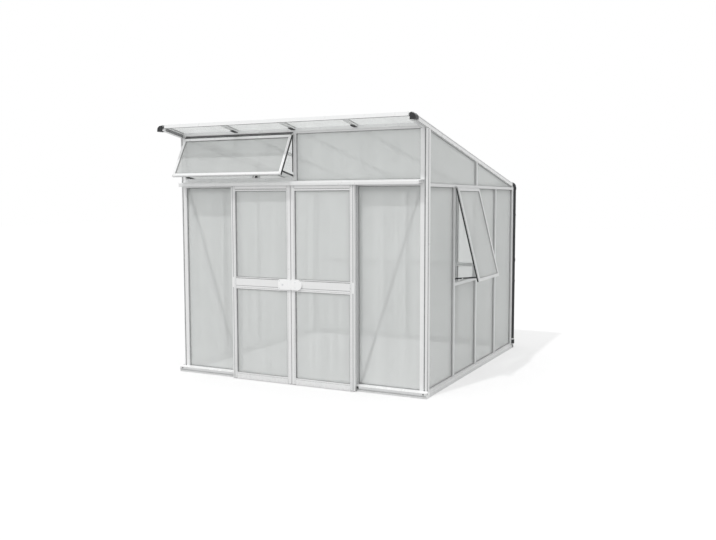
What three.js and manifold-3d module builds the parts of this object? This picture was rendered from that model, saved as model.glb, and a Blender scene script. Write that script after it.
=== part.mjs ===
// Mono-pitch greenhouse with a tall sliding-door front. Millimetres, X right, Y back, Z up.
// The origin is on the ground, at the middle of the front wall's outer plane.
import * as THREE from "three";
import { mergeVertices } from "three/addons/utils/BufferGeometryUtils.js";
import Module from "manifold-3d";

const wasm = await Module();
wasm.setup();

// The gap between neighbouring pieces, what a cutter runs past its piece, and how far joined bars lap.
const fit = 0.3;
const overrun = 5;
const lap = 1;
const weld = 0.001;
const quarterTurn = Math.PI / 2;

// Bays, the margin from a corner to its first bay line, and how deep every wall member is.
const wall = { frontBay: 620, sideBay: 637, bays: 4, margin: 45, depth: 40 };
const width = wall.bays * wall.frontBay + 2 * wall.margin;
const depth = wall.bays * wall.sideBay + 2 * wall.margin;
const halfWidth = width / 2;

// Twin-wall panes, measured inward from a wall's outer plane, and the slots that take their edges.
const pane = { face: 18, thickness: 6, bite: 8 };
const slot = { front: pane.face - fit, back: pane.face + pane.thickness + fit, depth: 8.5 };

// Glazing bar: outer face, rounded edges, and the bolt channel along its inner side.
const bar = { face: 30, round: 3, mouth: 8, channel: 16, lip: 3, channelDepth: 12 };

// Corner post: quarter-round bead, groove and flat strip on each outer face, with three chambers.
const post = { bead: 17, groove: 11, grooveDepth: 11, width: 65, skin: 3 };

// Side and rear sills, and the deeper front sill with the doors' guide groove.
const sill = { out: 15, edge: 28, shoulder: 40, top: 57, skin: 3 };
const frontSill = { out: 46, edge: 47, guideBottom: 16, guide: 10, guideDepth: 12 };

// Roof: height of its reference line at the front wall, and levels square to the slope from there.
const roof = { top: 2322, slope: 0.1731, front: 289, rearLap: 12 };

// How far below the roof's reference line the upper rails of the walls lie.
const drop = { plate: 48, ventHinge: 54, rearPlate: 522, header: 524, eave: 532 };

// Horizontal rails of the side walls, and the side window's own rail.
const eave = { bottom: roof.top - drop.eave, height: 28 };
const windowRail = { belowEave: 870 };
const windowRailTop = eave.bottom - windowRail.belowEave;

// Header over the doorway: the wall rail, and the rail that stands on it under the vent.
const header = { bottom: roof.top - drop.header, height: 56, endCut: 18, endGap: 30 };
const headerTop = header.bottom + header.height;
const headerHalf = halfWidth - header.endGap;
const ventRail = { height: 28 };
const ventRailTop = headerTop + ventRail.height;

// The header's hood with its rounded lip, and the shelf and bead that the wheels run on, measured
// up from the header's bottom.
const hood = { out: 95, lip: 10, shoulder: 48, atWall: 50.5, round: 16, skin: 3 };
const shelf = { out: 40, rise: 23, beadAt: 31, bead: 2, beadRise: 2.2 };
const shelfTop = header.bottom + shelf.rise;

// Front top plate.
const plate = { bottom: roof.top - drop.plate };

// Roof members, measured square to the slope from the reference line.
const rafter = { width: 35, bottom: -15, seat: -2, web: 10, cap: 30, capThickness: 2 };
const roofSlotTop = rafter.seat + pane.thickness + 2 * fit;
const roofEdge = { outer: 1270, width: 38, bottom: -46, skin: 2.7, paneEdge: 7, flange: 24, slot: 10 };
const roofRail = { drop: -29, skin: 3, ledge: 22, flange: 12, step: 0.6 };

// Black corner caps at the roof's front: heights from the reference line, and the rounded shoulder.
const cap = { inner: 1250, outer: 1302, low: 5, high: 50, round: 40, back: 245, nose: 20 };

// Rear wall's plate and girt.
const rearPlate = { bottom: roof.top - drop.rearPlate };
const girt = { bottom: 915, top: 955, front: 25 };

// Diagonal braces behind the fixed front panes, from beside the jamb to the head of the post.
const brace = { besideJamb: 20, footHeight: 30, besideCorner: 57, headRise: 22, width: 22, thickness: 3 };

// Cup-and-bead hinge under the top plate and the eave rail, measured from its axis.
const hinge = { out: 14, cup: 5.3, bore: 3.3, bead: 3, neck: 2, root: 6, rootThickness: 3.5, faces: 14 };
const hingeWeb = { low: 3.8, high: 5.8 };

// The cup's arc in radians, from just below level on its wall side round to its open lower front.
const cupArc = { start: -0.384, end: 4.311 };

// Hinged sashes: a mitred section, measured inward from the edge and out from the inner face.
const sash = { member: 27, thickness: 22, bevel: 3, drop: 7, inner: 11.5, slotBack: 7.7, slotFront: 14.3 };
const vent = { start: -1212, end: -12, lapRail: 2, open: 0.5061 };
const ventHinge = roof.top - drop.ventHinge;
const ventLength = ventHinge - headerTop + vent.lapRail;
const sideWindow = { lapOver: 6.5, lapRail: 6, hingeRise: 2, open: 0.2443 };
const windowHinge = eave.bottom + sideWindow.hingeRise;
const windowLength = windowHinge - windowRailTop + sideWindow.lapRail;

// Stays: a flat bar on a pin behind the sash, which slides over a forked saddle on the rail below.
const stay = { thickness: 4, half: 5, eye: 7, bore: 2.8, pin: 2.5, head: 4.5, headThickness: 1, inset: 22 };
const stayLug = { gap: 0.8, thickness: 3, side: 12 };
const ventStay = { length: 330, fromEnd: 45 };
const windowStay = { length: 400, fromEnd: 20 };
const saddle = { half: 6, mouth: 3.5, floor: 3, height: 18, front: 26, back: 37.5, centre: 11.5 };

// Sliding doors, hung in front of the wall. Across sizes are from the line where the doors meet.
const door = { gap: 3, outer: 643, face: 80, thickness: 28, bottom: 8, intoHood: 17, skin: 3 };
const doorTop = header.bottom + door.intoHood;
const stile = { meeting: 39, outer: 46, line: 1.5, lineDepth: 1.2, lineAt: 9 };
const doorRail = { bottomTop: 65, midBottom: 858, midTop: 967, topHeight: 52, line: 11 };
const topRailBottom = doorTop - doorRail.topHeight;
const doorPane = { in: 11, bite: 8 };
const hanger = { near: 80, far: 560, width: 40, lap: 15, rise: 23 };
const wheel = { flange: 9.8, groove: 8, width: 8, at: 27, rim: 2.3, ramp: 0.5, axle: 3, faces: 16 };
const tongue = { centre: 320, width: 60, bottom: 18, top: 24, reach: 37 };

// Lock: a case on the left door, its hook, and the keeper on the right door.
// Rises are measured up from the case's bottom.
const lock = { left: 125, end: 4, bottom: 871, height: 90, thickness: 16, corner: 14 };
const lockTop = lock.bottom + lock.height;
const lockCavity = { front: 4, back: 4, rise: 3, height: 77, length: 60, keeperLength: 31 };
const keyhole = { at: 80, rise: 44, radius: 4, depth: 3, faces: 16 };
const hook = { pivot: 28, rise: 59, thickness: 5, boss: 7, bore: 3.3, pin: 3, half: 4, reach: 54 };
const hookBeak = { width: 8, rise: 12, slant: 1 };
const keeper = { right: 118, pinAt: 12, pinRise: 68 };

// Rear gutter, and the black elbow, pipe and shoe at its right end.
const gutter = { out: 102, rise: 15, height: 51, back: 28, skin: 2.5, left: 1270, right: 1232 };
const gutterBottom = rearPlate.bottom + gutter.rise;
const gutterTop = gutterBottom + gutter.height;
const gutterEnd = { notch: 16, shelf: 35 };
const pipe = { x: 1265, out: 72, radius: 24, wall: 3, stub: 15, rise: 38, bend: 28, foot: 45 };
const pipeInlet = gutterBottom + pipe.rise;
const pipeSides = 20;
const bendSteps = 6;
const shoe = { radius: 29, bottom: 34, top: 80 };
const clip = { bottom: 80.5, top: 96.5, band: 3, arm: 20 };

const up = new THREE.Vector3(0, 0, 1);
const right = new THREE.Vector3(1, 0, 0);
const back = new THREE.Vector3(0, 1, 0);

// What each outline's own axes become when it is pushed along X, Y or Z.
const turned = {
  x: new THREE.Matrix4().makeBasis(back, up, right),
  y: new THREE.Matrix4().makeBasis(right, up, back.clone().negate()),
  z: new THREE.Matrix4(),
};

const looks = {
  frame: { color: 0xdde0e1, roughness: 0.42, metalness: 0.35 },
  header: { color: 0xeceeee, roughness: 0.4, metalness: 0.25 },
  sheet: { color: 0xc4c8c9, roughness: 0.55, metalness: 0, transparent: true, opacity: 0.55 },
  black: { color: 0x17181a, roughness: 0.5, metalness: 0 },
  zinc: { color: 0xb4b8ba, roughness: 0.35, metalness: 0.8 },
};

function solid(geometry) {
  geometry.deleteAttribute("normal");
  geometry.deleteAttribute("uv");
  const merged = mergeVertices(geometry, weld);
  return new wasm.Manifold(
    new wasm.Mesh({
      numProp: 3,
      vertProperties: new Float32Array(merged.attributes.position.array),
      triVerts: new Uint32Array(merged.index.array),
    }),
  );
}

function joined(...solids) {
  return solids.flat().reduce((whole, piece) => whole.add(piece));
}

function cut(piece, ...cutters) {
  return cutters.flat().reduce((left, cutter) => left.subtract(cutter), piece);
}

function moved(piece, matrix) {
  return solid(geometryOf(piece).applyMatrix4(matrix));
}

function geometryOf(piece) {
  const mesh = piece.getMesh();
  const geometry = new THREE.BufferGeometry();
  geometry.setAttribute("position", new THREE.BufferAttribute(mesh.vertProperties, mesh.numProp));
  geometry.setIndex(new THREE.BufferAttribute(mesh.triVerts, 1));
  return geometry.toNonIndexed();
}

function points(outline) {
  return outline.map(([u, v]) => new THREE.Vector2(u, v));
}

// An outline pushed along an axis from one place to another, with any holes right through it.
function extruded(axis, outline, start, end, holes = []) {
  const shape = new THREE.Shape(points(outline));
  const geometry = new THREE.ExtrudeGeometry(shape, { depth: end - start, bevelEnabled: false });
  geometry.applyMatrix4(turned[axis]);
  const place = { x: [start, 0, 0], y: [0, end, 0], z: [0, 0, start] }[axis];
  const bores = holes.map((hole) => extruded(axis, hole, start - overrun, end + overrun));
  return cut(solid(geometry.translate(...place)), bores);
}

function box(x, y, z) {
  return extruded("z", rectangle(x, y), ...z);
}

function rectangle([first, last], [low, high]) {
  return [
    [first, low],
    [last, low],
    [last, high],
    [first, high],
  ];
}

function arc(u, v, radius, from, to, steps) {
  return Array.from({ length: steps + 1 }, (_, i) => {
    const angle = from + ((to - from) * i) / steps;
    return [u + radius * Math.cos(angle), v + radius * Math.sin(angle)];
  });
}

function circle(u, v, radius, faces) {
  return arc(u, v, radius, 0, 2 * Math.PI, faces).slice(0, -1);
}

function swapped(outline) {
  return outline.map(([u, v]) => [v, u]);
}

function shifted(outline, du, dv) {
  return outline.map(([u, v]) => [u + du, v + dv]);
}

// The outline of a half, closed by its own mirror image across the second axis.
function mirrored(half) {
  return [...half, ...half.map(([u, v]) => [-u, v]).reverse()];
}

// Glazing bar's section: across, then inward from the outer face, about the bar's own middle.
function barSection(face) {
  const half = face / 2;
  return mirrored([
    ...arc(half - bar.round, bar.round, bar.round, -quarterTurn, 0, 2),
    [half, slot.front],
    [half - slot.depth, slot.front],
    [half - slot.depth, slot.back],
    [half, slot.back],
    [half, wall.depth],
    [bar.mouth / 2, wall.depth],
    [bar.mouth / 2, wall.depth - bar.lip],
    [bar.channel / 2, wall.depth - bar.lip],
    [bar.channel / 2, wall.depth - bar.channelDepth],
  ]);
}

function uprightBar(x, bottom, top) {
  return extruded("z", shifted(barSection(bar.face), x, 0), bottom, top);
}

function levelRail(start, end, bottom, height) {
  const section = swapped(shifted(barSection(height), bottom + height / 2, 0));
  return extruded("x", section, start, end);
}

// Corner post's section, from the outer corner along one wall, then back along the other.
function postSection() {
  const strip = post.bead + post.groove;
  const leg = [
    ...arc(post.bead, post.bead, post.bead, 2.5 * quarterTurn, 3 * quarterTurn, 4),
    [post.bead, post.grooveDepth],
    [strip, post.grooveDepth],
    [strip, 0],
    [post.width, 0],
    [post.width, slot.front],
    [post.width - slot.depth, slot.front],
    [post.width - slot.depth, slot.back],
    [post.width, slot.back],
    [post.width, wall.depth],
    [wall.depth, wall.depth],
  ];
  return [...leg, ...swapped(leg).reverse().slice(1, -1)];
}

function postChambers() {
  const strip = post.bead + post.groove;
  const leg = rectangle(
    [strip + post.skin, post.width - slot.depth - post.skin],
    [post.skin, wall.depth - post.skin],
  );
  const core = [post.grooveDepth + post.skin, strip];
  return [leg, swapped(leg), rectangle(core, core)];
}

// How high the roof's underside stands over a place behind the front wall, at a level of the slope.
function roofHeight(y, level) {
  return roof.top + level / Math.cos(roof.slope) - Math.tan(roof.slope) * y;
}

// Everything above a level of the roof, as a prism along X.
function aboveRoof(level) {
  const [front, rear] = [-roof.front, depth + roof.front];
  const profile = [
    [front, roofHeight(front, level)],
    [rear, roofHeight(rear, level)],
    [rear, roof.top + roof.front],
    [front, roof.top + roof.front],
  ];
  return extruded("x", profile, -width, width);
}

function cornerPost(x, y, quarters) {
  const stands = new THREE.Matrix4().makeRotationZ(quarters * quarterTurn).setPosition(x, y, 0);
  const height = [sill.shoulder + fit, roof.top + roof.front];
  const whole = moved(extruded("z", postSection(), ...height, postChambers()), stands);
  return cut(whole, aboveRoof(roofEdge.bottom - fit));
}

// What the corner posts stand in: the sill's top is cut down to its shoulder under each post.
function postPockets(start, end, pocket) {
  const y = [-fit, wall.depth + overrun];
  const z = [sill.shoulder, sill.top + overrun];
  return [box([start - overrun, start + pocket], y, z), box([end - pocket, end + overrun], y, z)];
}

function paneGroove(top) {
  return [
    [slot.front, top],
    [slot.front, top - slot.depth],
    [slot.back, top - slot.depth],
    [slot.back, top],
  ];
}

// Side and rear sill: sloping drip nose outside, glazing groove on top, one chamber.
function sillBar(start, end) {
  const section = [
    [-sill.out, 0],
    [-sill.out, sill.edge],
    [0, sill.shoulder],
    [0, sill.top],
    ...paneGroove(sill.top),
    [wall.depth, sill.top],
    [wall.depth, 0],
  ];
  const chamberTop = sill.shoulder - sill.skin;
  const chamber = [
    [sill.skin - sill.out, sill.skin],
    [sill.skin - sill.out, sill.edge - sill.skin],
    [0, chamberTop],
    [wall.depth - sill.skin, chamberTop],
    [wall.depth - sill.skin, sill.skin],
  ];
  return extruded("x", section, start, end, [chamber]);
}

function frontSillBar() {
  const guideTop = frontSill.guideBottom + frontSill.guide;
  const guideBack = frontSill.guideDepth - frontSill.out;
  const section = [
    [-frontSill.out, 0],
    [-frontSill.out, frontSill.guideBottom],
    [guideBack, frontSill.guideBottom],
    [guideBack, guideTop],
    [-frontSill.out, guideTop],
    [-frontSill.out, frontSill.edge],
    [0, sill.top],
    ...paneGroove(sill.top),
    [wall.depth, sill.top],
    [wall.depth, 0],
  ];
  const inside = rectangle(
    [sill.skin, wall.depth - sill.skin],
    [sill.skin, sill.shoulder - sill.skin],
  );
  const outside = [
    [sill.skin - frontSill.out, sill.skin],
    [sill.skin - frontSill.out, frontSill.guideBottom - sill.skin],
    [guideBack + sill.skin, frontSill.guideBottom - sill.skin],
    [guideBack + sill.skin, guideTop + sill.skin],
    [sill.skin - frontSill.out, guideTop + sill.skin],
    [sill.skin - frontSill.out, frontSill.edge - sill.skin],
    [0, sill.top - 2 * sill.skin],
    [0, sill.skin],
  ];
  const end = halfWidth + sill.out;
  const pocket = end - halfWidth + post.width + fit;
  return cut(extruded("x", section, -end, end, [inside, outside]), postPockets(-end, end, pocket));
}

// Header: the rail in the wall, with the hood in front that hides the shelf the wheels run on.
function headerSection() {
  const lipMiddle = [hood.round - hood.out, header.bottom + hood.shoulder - hood.round];
  const lipBottom = header.bottom + hood.lip;
  const hoodTop = header.bottom + hood.atWall;
  const bead = [shelf.beadAt - shelf.bead / 2, shelf.beadAt + shelf.bead / 2];
  return [
    [wall.depth, header.bottom],
    [slot.back, header.bottom],
    [slot.back, header.bottom + slot.depth],
    [slot.front, header.bottom + slot.depth],
    [slot.front, header.bottom],
    [0, header.bottom],
    [0, shelfTop - hood.skin],
    [-shelf.out, shelfTop - hood.skin],
    [-shelf.out, shelfTop],
    [-bead[1], shelfTop],
    [-bead[1], shelfTop + shelf.beadRise],
    [-bead[0], shelfTop + shelf.beadRise],
    [-bead[0], shelfTop],
    [0, shelfTop],
    [0, hoodTop - hood.skin],
    ...arc(...lipMiddle, hood.round - hood.skin, quarterTurn, 2 * quarterTurn, 4),
    [hood.skin - hood.out, lipBottom],
    [-hood.out, lipBottom],
    ...arc(...lipMiddle, hood.round, 2 * quarterTurn, quarterTurn, 4),
    [0, hoodTop],
    [0, headerTop],
    ...paneGroove(headerTop),
    [wall.depth, headerTop],
  ];
}

function doorHeader() {
  const inset = slot.depth + hood.skin;
  const chamber = rectangle(
    [hood.skin, wall.depth - hood.skin],
    [header.bottom + inset, headerTop - inset],
  );
  const whole = extruded("x", headerSection(), -headerHalf, headerHalf, [chamber]);
  const z = [header.bottom - overrun, headerTop + overrun];
  const corner = [
    [headerHalf - header.endCut, -hood.out],
    [headerHalf, header.endCut - hood.out],
    [headerHalf + overrun, header.endCut - hood.out],
    [headerHalf + overrun, -hood.out - overrun],
    [headerHalf - header.endCut, -hood.out - overrun],
  ];
  const besidePost = halfWidth - post.width - fit;
  const rail = box(
    [-besidePost, -bar.face / 2 - fit],
    [0, wall.depth],
    [headerTop - slot.depth - lap, ventRailTop],
  );
  const cutters = [1, -1].flatMap((side) => {
    const x = [side * besidePost, side * (headerHalf + overrun)];
    return [
      box(x.sort((a, b) => a - b), [-fit, wall.depth + overrun], z),
      extruded("z", corner.map(([u, v]) => [side * u, v]), ...z),
    ];
  });
  return joined(cut(whole, cutters), rail, ventSaddles());
}

// A fork on the rail under a sash: the stay slides over its floor, between its two cheeks.
function staySaddle(x, height) {
  const fork = [
    [x - saddle.half, height - lap],
    [x + saddle.half, height - lap],
    [x + saddle.half, height + saddle.height],
    [x + saddle.mouth, height + saddle.height],
    [x + saddle.mouth, height + saddle.floor],
    [x - saddle.mouth, height + saddle.floor],
    [x - saddle.mouth, height + saddle.height],
    [x - saddle.half, height + saddle.height],
  ];
  return extruded("y", fork, saddle.front, saddle.back);
}

function ventSaddles() {
  return ventStayPlaces().map((x) => staySaddle(x, ventRailTop));
}

function ventStayPlaces() {
  return [vent.start + stayLug.side, vent.end - stayLug.side];
}

// The fixed half of a sash hinge: a long open cup under a web from the rail's face.
function hingeCup(start, end, height) {
  const ring = [
    ...arc(0, 0, hinge.cup, cupArc.start, cupArc.end, hinge.faces),
    ...arc(0, 0, hinge.bore, cupArc.end, cupArc.start, hinge.faces),
  ];
  const web = [
    [-hinge.out - lap, hinge.root],
    [-hinge.out - lap, hinge.root + hinge.rootThickness],
    [0, hingeWeb.high],
    [0, hingeWeb.low],
  ];
  const placed = (outline) => outline.map(([u, v]) => [-hinge.out - u, height + v]);
  return joined([ring, web].map((outline) => extruded("x", placed(outline), start, end)));
}

function frontTopPlate() {
  const topAt = (y) => roofHeight(y, rafter.bottom - fit);
  const section = [
    [0, plate.bottom],
    [0, topAt(0)],
    [wall.depth, topAt(wall.depth)],
    [wall.depth, plate.bottom],
    [slot.back, plate.bottom],
    [slot.back, plate.bottom + slot.depth],
    [slot.front, plate.bottom + slot.depth],
    [slot.front, plate.bottom],
  ];
  const half = halfWidth - post.width - fit;
  return joined(
    extruded("x", section, -half, half),
    uprightBar(0, headerTop + fit, plate.bottom + lap),
    hingeCup(vent.start, vent.end, ventHinge),
  );
}

function doorJamb(side) {
  return uprightBar(side * wall.frontBay, sill.top + fit, header.bottom - fit);
}

function sheet(x, z) {
  return box(x, [pane.face, pane.face + pane.thickness], z);
}

const behindPost = post.width - pane.bite;
const besideBar = bar.face / 2 - pane.bite;

function frontPane(side) {
  const x = [wall.frontBay + besideBar, halfWidth - behindPost].map((value) => side * value);
  return sheet(x.sort((a, b) => a - b), [sill.top - pane.bite, header.bottom + pane.bite]);
}

function frontUpperPane() {
  return sheet([besideBar, halfWidth - behindPost], [headerTop - pane.bite, plate.bottom + pane.bite]);
}

function frontBrace(side) {
  const [foot, head] = [wall.frontBay + brace.besideJamb, halfWidth - brace.besideCorner];
  const headHeight = header.bottom + brace.headRise;
  const lean = Math.atan2(headHeight - brace.footHeight, head - foot);
  const [across, rise] = [Math.sin(lean), Math.cos(lean)].map((share) => (share * brace.width) / 2);
  const strip = [
    [foot - across, brace.footHeight + rise],
    [foot + across, brace.footHeight - rise],
    [head + across, headHeight - rise],
    [head - across, headHeight + rise],
  ];
  const outline = strip.map(([u, v]) => [side * u, v]);
  return extruded("y", outline, wall.depth + fit, wall.depth + fit + brace.thickness);
}

// The side walls are drawn with X along the wall from the front, and Y inward.
function sideBarPlace(index) {
  return wall.margin + index * wall.sideBay;
}

const gableBarPlace = sideBarPlace(2);
const eaveTop = eave.bottom + eave.height;

function sideWallFrame(hasWindow) {
  const [start, end] = [wall.depth + fit, depth - wall.depth - fit];
  const pocket = post.width - wall.depth;
  const between = [post.width + fit, depth - post.width - fit];
  const bars = [1, 2, 3].map((i) => uprightBar(sideBarPlace(i), sill.top - lap, eave.bottom + lap));
  const gableBar = cut(
    uprightBar(gableBarPlace, eaveTop - lap, roof.top),
    alongSide(aboveRoof(roofEdge.bottom - fit)),
  );
  const frame = joined(
    cut(sillBar(start, end), postPockets(start, end, pocket)),
    levelRail(...between, eave.bottom, eave.height),
    bars,
    gableBar,
  );
  return hasWindow ? joined(frame, windowFittings()) : frame;
}

// Turns a piece from the greenhouse's own axes to those of its right side wall.
function alongSide(piece) {
  return moved(piece, new THREE.Matrix4().makeRotationZ(-quarterTurn));
}

function windowSpan() {
  const reach = bar.face / 2 - sideWindow.lapOver;
  return [sideBarPlace(1) + reach, sideBarPlace(2) - reach];
}

function windowStayPlace() {
  return (sideBarPlace(1) + sideBarPlace(2)) / 2;
}

function windowFittings() {
  const [start, end] = [sideBarPlace(1) + bar.face / 2 - lap, sideBarPlace(2) - bar.face / 2 + lap];
  return [
    levelRail(start, end, windowRailTop - bar.face, bar.face),
    staySaddle(windowStayPlace(), windowRailTop),
    hingeCup(...windowSpan(), windowHinge),
  ];
}

function bayEdges(index) {
  const first = index === 0 ? behindPost : sideBarPlace(index) + besideBar;
  const last = index === wall.bays - 1 ? depth - behindPost : sideBarPlace(index + 1) - besideBar;
  return [first, last];
}

function sidePane(index, top) {
  return sheet(bayEdges(index), [sill.top - pane.bite, top + pane.bite]);
}

function gablePane(start, end) {
  const bottom = eaveTop - pane.bite;
  const topAt = (x) => roofHeight(x, roofEdge.bottom + pane.bite);
  const outline = [
    [start, bottom],
    [end, bottom],
    [end, topAt(end)],
    [start, topAt(start)],
  ];
  return extruded("y", outline, pane.face, pane.face + pane.thickness);
}

// The rear wall is drawn with X along the wall and Y inward, as seen from behind.
function rearBarPlace(index) {
  return (index - wall.bays / 2) * wall.frontBay;
}

function rearWallFrame() {
  const end = halfWidth + sill.out;
  const pocket = sill.out + post.width + fit;
  const half = halfWidth - post.width - fit;
  const topAt = (y) => roofHeight(depth - y, rafter.bottom - fit);
  const plateSection = [
    [0, rearPlate.bottom],
    [0, topAt(0)],
    [wall.depth, topAt(wall.depth)],
    [wall.depth, rearPlate.bottom],
    [slot.back, rearPlate.bottom],
    [slot.back, rearPlate.bottom + slot.depth],
    [slot.front, rearPlate.bottom + slot.depth],
    [slot.front, rearPlate.bottom],
  ];
  return joined(
    cut(sillBar(-end, end), postPockets(-end, end, pocket)),
    extruded("x", plateSection, -half, half),
    box([-half, half], [girt.front, wall.depth], [girt.bottom, girt.top]),
    [1, 2, 3].map((i) => uprightBar(rearBarPlace(i), sill.top - lap, rearPlate.bottom + lap)),
  );
}

function rearPane(index) {
  const last = wall.bays - 1;
  const start = index === 0 ? behindPost - halfWidth : rearBarPlace(index) + besideBar;
  const end = index === last ? halfWidth - behindPost : rearBarPlace(index + 1) - besideBar;
  return sheet([start, end], [sill.top - pane.bite, rearPlate.bottom + pane.bite]);
}

// Roof pieces are drawn flat, Y down the slope from the front wall, Z square to it.
const slopeLength = 1 / Math.cos(roof.slope);
const roofFront = -roof.front * slopeLength;
const roofRear = depth * slopeLength;

function roofEdgeBar() {
  const inner = roofEdge.outer - roofEdge.width;
  const paneEdge = roofEdge.outer - roofEdge.paneEdge;
  const capTop = roofSlotTop + rafter.capThickness;
  const wallSlot = [halfWidth - slot.front, halfWidth - slot.back];
  const section = [
    [roofEdge.outer, roofEdge.bottom],
    [roofEdge.outer, capTop],
    [roofEdge.outer - roofEdge.flange, capTop],
    [roofEdge.outer - roofEdge.flange, roofSlotTop],
    [paneEdge, roofSlotTop],
    [paneEdge, rafter.seat],
    [inner, rafter.seat],
    [inner, roofEdge.bottom],
    [wallSlot[1], roofEdge.bottom],
    [wallSlot[1], roofEdge.bottom + roofEdge.slot],
    [wallSlot[0], roofEdge.bottom + roofEdge.slot],
    [wallSlot[0], roofEdge.bottom],
  ];
  const chamber = rectangle(
    [inner + roofEdge.skin, roofEdge.outer - roofEdge.skin],
    [roofEdge.bottom + roofEdge.slot + roofEdge.skin, rafter.seat - roofEdge.skin],
  );
  return extruded("y", section, roofFront, roofRear, [chamber]);
}

function rafterSection(x) {
  const capTop = roofSlotTop + rafter.capThickness;
  const half = [
    [rafter.width / 2, rafter.bottom],
    [rafter.width / 2, rafter.seat],
    [rafter.web / 2, rafter.seat],
    [rafter.web / 2, roofSlotTop],
    [rafter.cap / 2, roofSlotTop],
    [rafter.cap / 2, capTop],
  ];
  return shifted(mirrored(half), x, 0);
}

function roofFrame() {
  const capTop = roofSlotTop + rafter.capThickness + roofRail.step;
  const slotTop = roofSlotTop + roofRail.step;
  const [seat, bottom] = [rafter.seat - roofRail.step, rafter.bottom - roofRail.step];
  const frontSection = [
    [roofFront, roofRail.drop],
    [roofFront, capTop],
    [roofFront + roofRail.flange, capTop],
    [roofFront + roofRail.flange, slotTop],
    [roofFront + roofRail.skin, slotTop],
    [roofFront + roofRail.skin, seat],
    [roofFront + roofRail.ledge, seat],
    [roofFront + roofRail.ledge, bottom],
    [roofFront + roofRail.skin, bottom],
    [roofFront + roofRail.skin, roofRail.drop],
  ];
  const half = roofEdge.outer - roofEdge.width - fit;
  const start = roofFront + roofRail.skin - lap;
  return joined(
    extruded("x", frontSection, -half, half),
    [1, 2, 3].map((i) => extruded("y", rafterSection(rearBarPlace(i)), start, roofRear)),
  );
}

function roofPane(index) {
  const last = wall.bays - 1;
  const edge = roofEdge.outer - roofEdge.paneEdge - fit;
  const besideWeb = rafter.web / 2 + fit;
  const start = index === 0 ? -edge : rearBarPlace(index) + besideWeb;
  const end = index === last ? edge : rearBarPlace(index + 1) - besideWeb;
  const y = [roofFront + roofRail.skin + fit, roofRear + roof.rearLap];
  const z = [rafter.seat + fit, rafter.seat + fit + pane.thickness];
  return box([start, end], y, z);
}

// A corner cap: a rounded nose over the end of a roof edge, and a cheek beside it.
function roofCap() {
  const [bottom, top] = [roof.top - cap.low, roof.top + cap.high];
  const face = -roof.front + roofEdge.bottom * Math.sin(roof.slope) - fit;
  const outline = [
    [cap.inner, bottom],
    [cap.outer, bottom],
    ...arc(cap.outer - cap.round, top - cap.round, cap.round, 0, quarterTurn, 6),
    [cap.inner, top],
  ];
  const whole = extruded("y", outline, -roof.front - cap.nose, -cap.back);
  const x = [cap.inner - overrun, roofEdge.outer + fit];
  return cut(whole, box(x, [face, overrun - cap.back], [bottom - overrun, top + overrun]));
}

function rearGutter() {
  const rear = depth + fit;
  const front = depth + gutter.out;
  const backTop = gutterBottom + gutter.back;
  const section = [
    [rear, gutterBottom],
    [front, gutterBottom],
    [front, gutterTop],
    [front - gutter.skin, gutterTop],
    [front - gutter.skin, gutterBottom + gutter.skin],
    [rear + gutter.skin, gutterBottom + gutter.skin],
    [rear + gutter.skin, backTop],
    [rear, backTop],
  ];
  const end = [
    [rear + lap, gutterBottom + lap],
    [front - lap, gutterBottom + lap],
    [front - lap, gutterTop - lap],
    [depth + gutterEnd.notch, gutterTop - lap],
    [depth + gutterEnd.notch, gutterBottom + gutterEnd.shelf],
    [rear + lap, backTop - gutter.skin],
  ];
  const outlet = circle(depth + pipe.out, pipeInlet, pipe.radius + fit, pipeSides);
  return joined(
    extruded("x", section, -gutter.left, gutter.right),
    extruded("x", end, lap - gutter.left, lap + gutter.skin - gutter.left),
    cut(
      extruded("x", end, gutter.right - gutter.skin - lap, gutter.right - lap),
      extruded("x", outlet, gutter.right - overrun, gutter.right + overrun),
    ),
  );
}

// The pipe's middle line, as places with the direction square to it: along, round the bend, and down.
function pipePath() {
  const centre = [pipe.x - pipe.bend, pipeInlet - pipe.bend];
  const bend = Array.from({ length: bendSteps + 1 }, (_, i) => {
    const angle = quarterTurn * (1 - i / bendSteps);
    return { x: centre[0] + pipe.bend * Math.cos(angle), z: centre[1] + pipe.bend * Math.sin(angle), angle };
  });
  return [
    { x: centre[0] - pipe.stub, z: pipeInlet, angle: quarterTurn },
    ...bend,
    { x: pipe.x, z: pipe.foot, angle: 0 },
  ];
}

// A round wall of a given radius that follows the pipe's middle line, as a closed bar.
function pipeBody(radius, run) {
  const path = pipePath();
  path[0].x -= run;
  path[path.length - 1].z -= run;
  const corners = path.flatMap(({ x, z, angle }) =>
    circle(0, 0, radius, pipeSides).map(([u, v]) => [
      x + u * Math.cos(angle),
      depth + pipe.out + v,
      z + u * Math.sin(angle),
    ]),
  );
  return solid(tubeGeometry(corners, path.length));
}

function tubeGeometry(corners, rings) {
  const faces = [];
  for (let ring = 0; ring < rings - 1; ring += 1) {
    for (let i = 0; i < pipeSides; i += 1) {
      const [a, b] = [ring * pipeSides + i, ring * pipeSides + ((i + 1) % pipeSides)];
      faces.push(a, b + pipeSides, b, a, a + pipeSides, b + pipeSides);
    }
  }
  const last = (rings - 1) * pipeSides;
  for (let i = 1; i < pipeSides - 1; i += 1) {
    faces.push(0, i, i + 1, last, last + i + 1, last + i);
  }
  const geometry = new THREE.BufferGeometry();
  geometry.setAttribute("position", new THREE.Float32BufferAttribute(corners.flat(), 3));
  return geometry.setIndex(faces);
}

function downpipe() {
  const socket = circle(pipe.x, depth + pipe.out, shoe.radius, pipeSides);
  const sleeve = extruded("z", socket, shoe.bottom, shoe.top);
  const inside = pipeBody(pipe.radius - pipe.wall, pipe.foot);
  return cut(joined(pipeBody(pipe.radius, 0), sleeve), inside);
}

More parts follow.
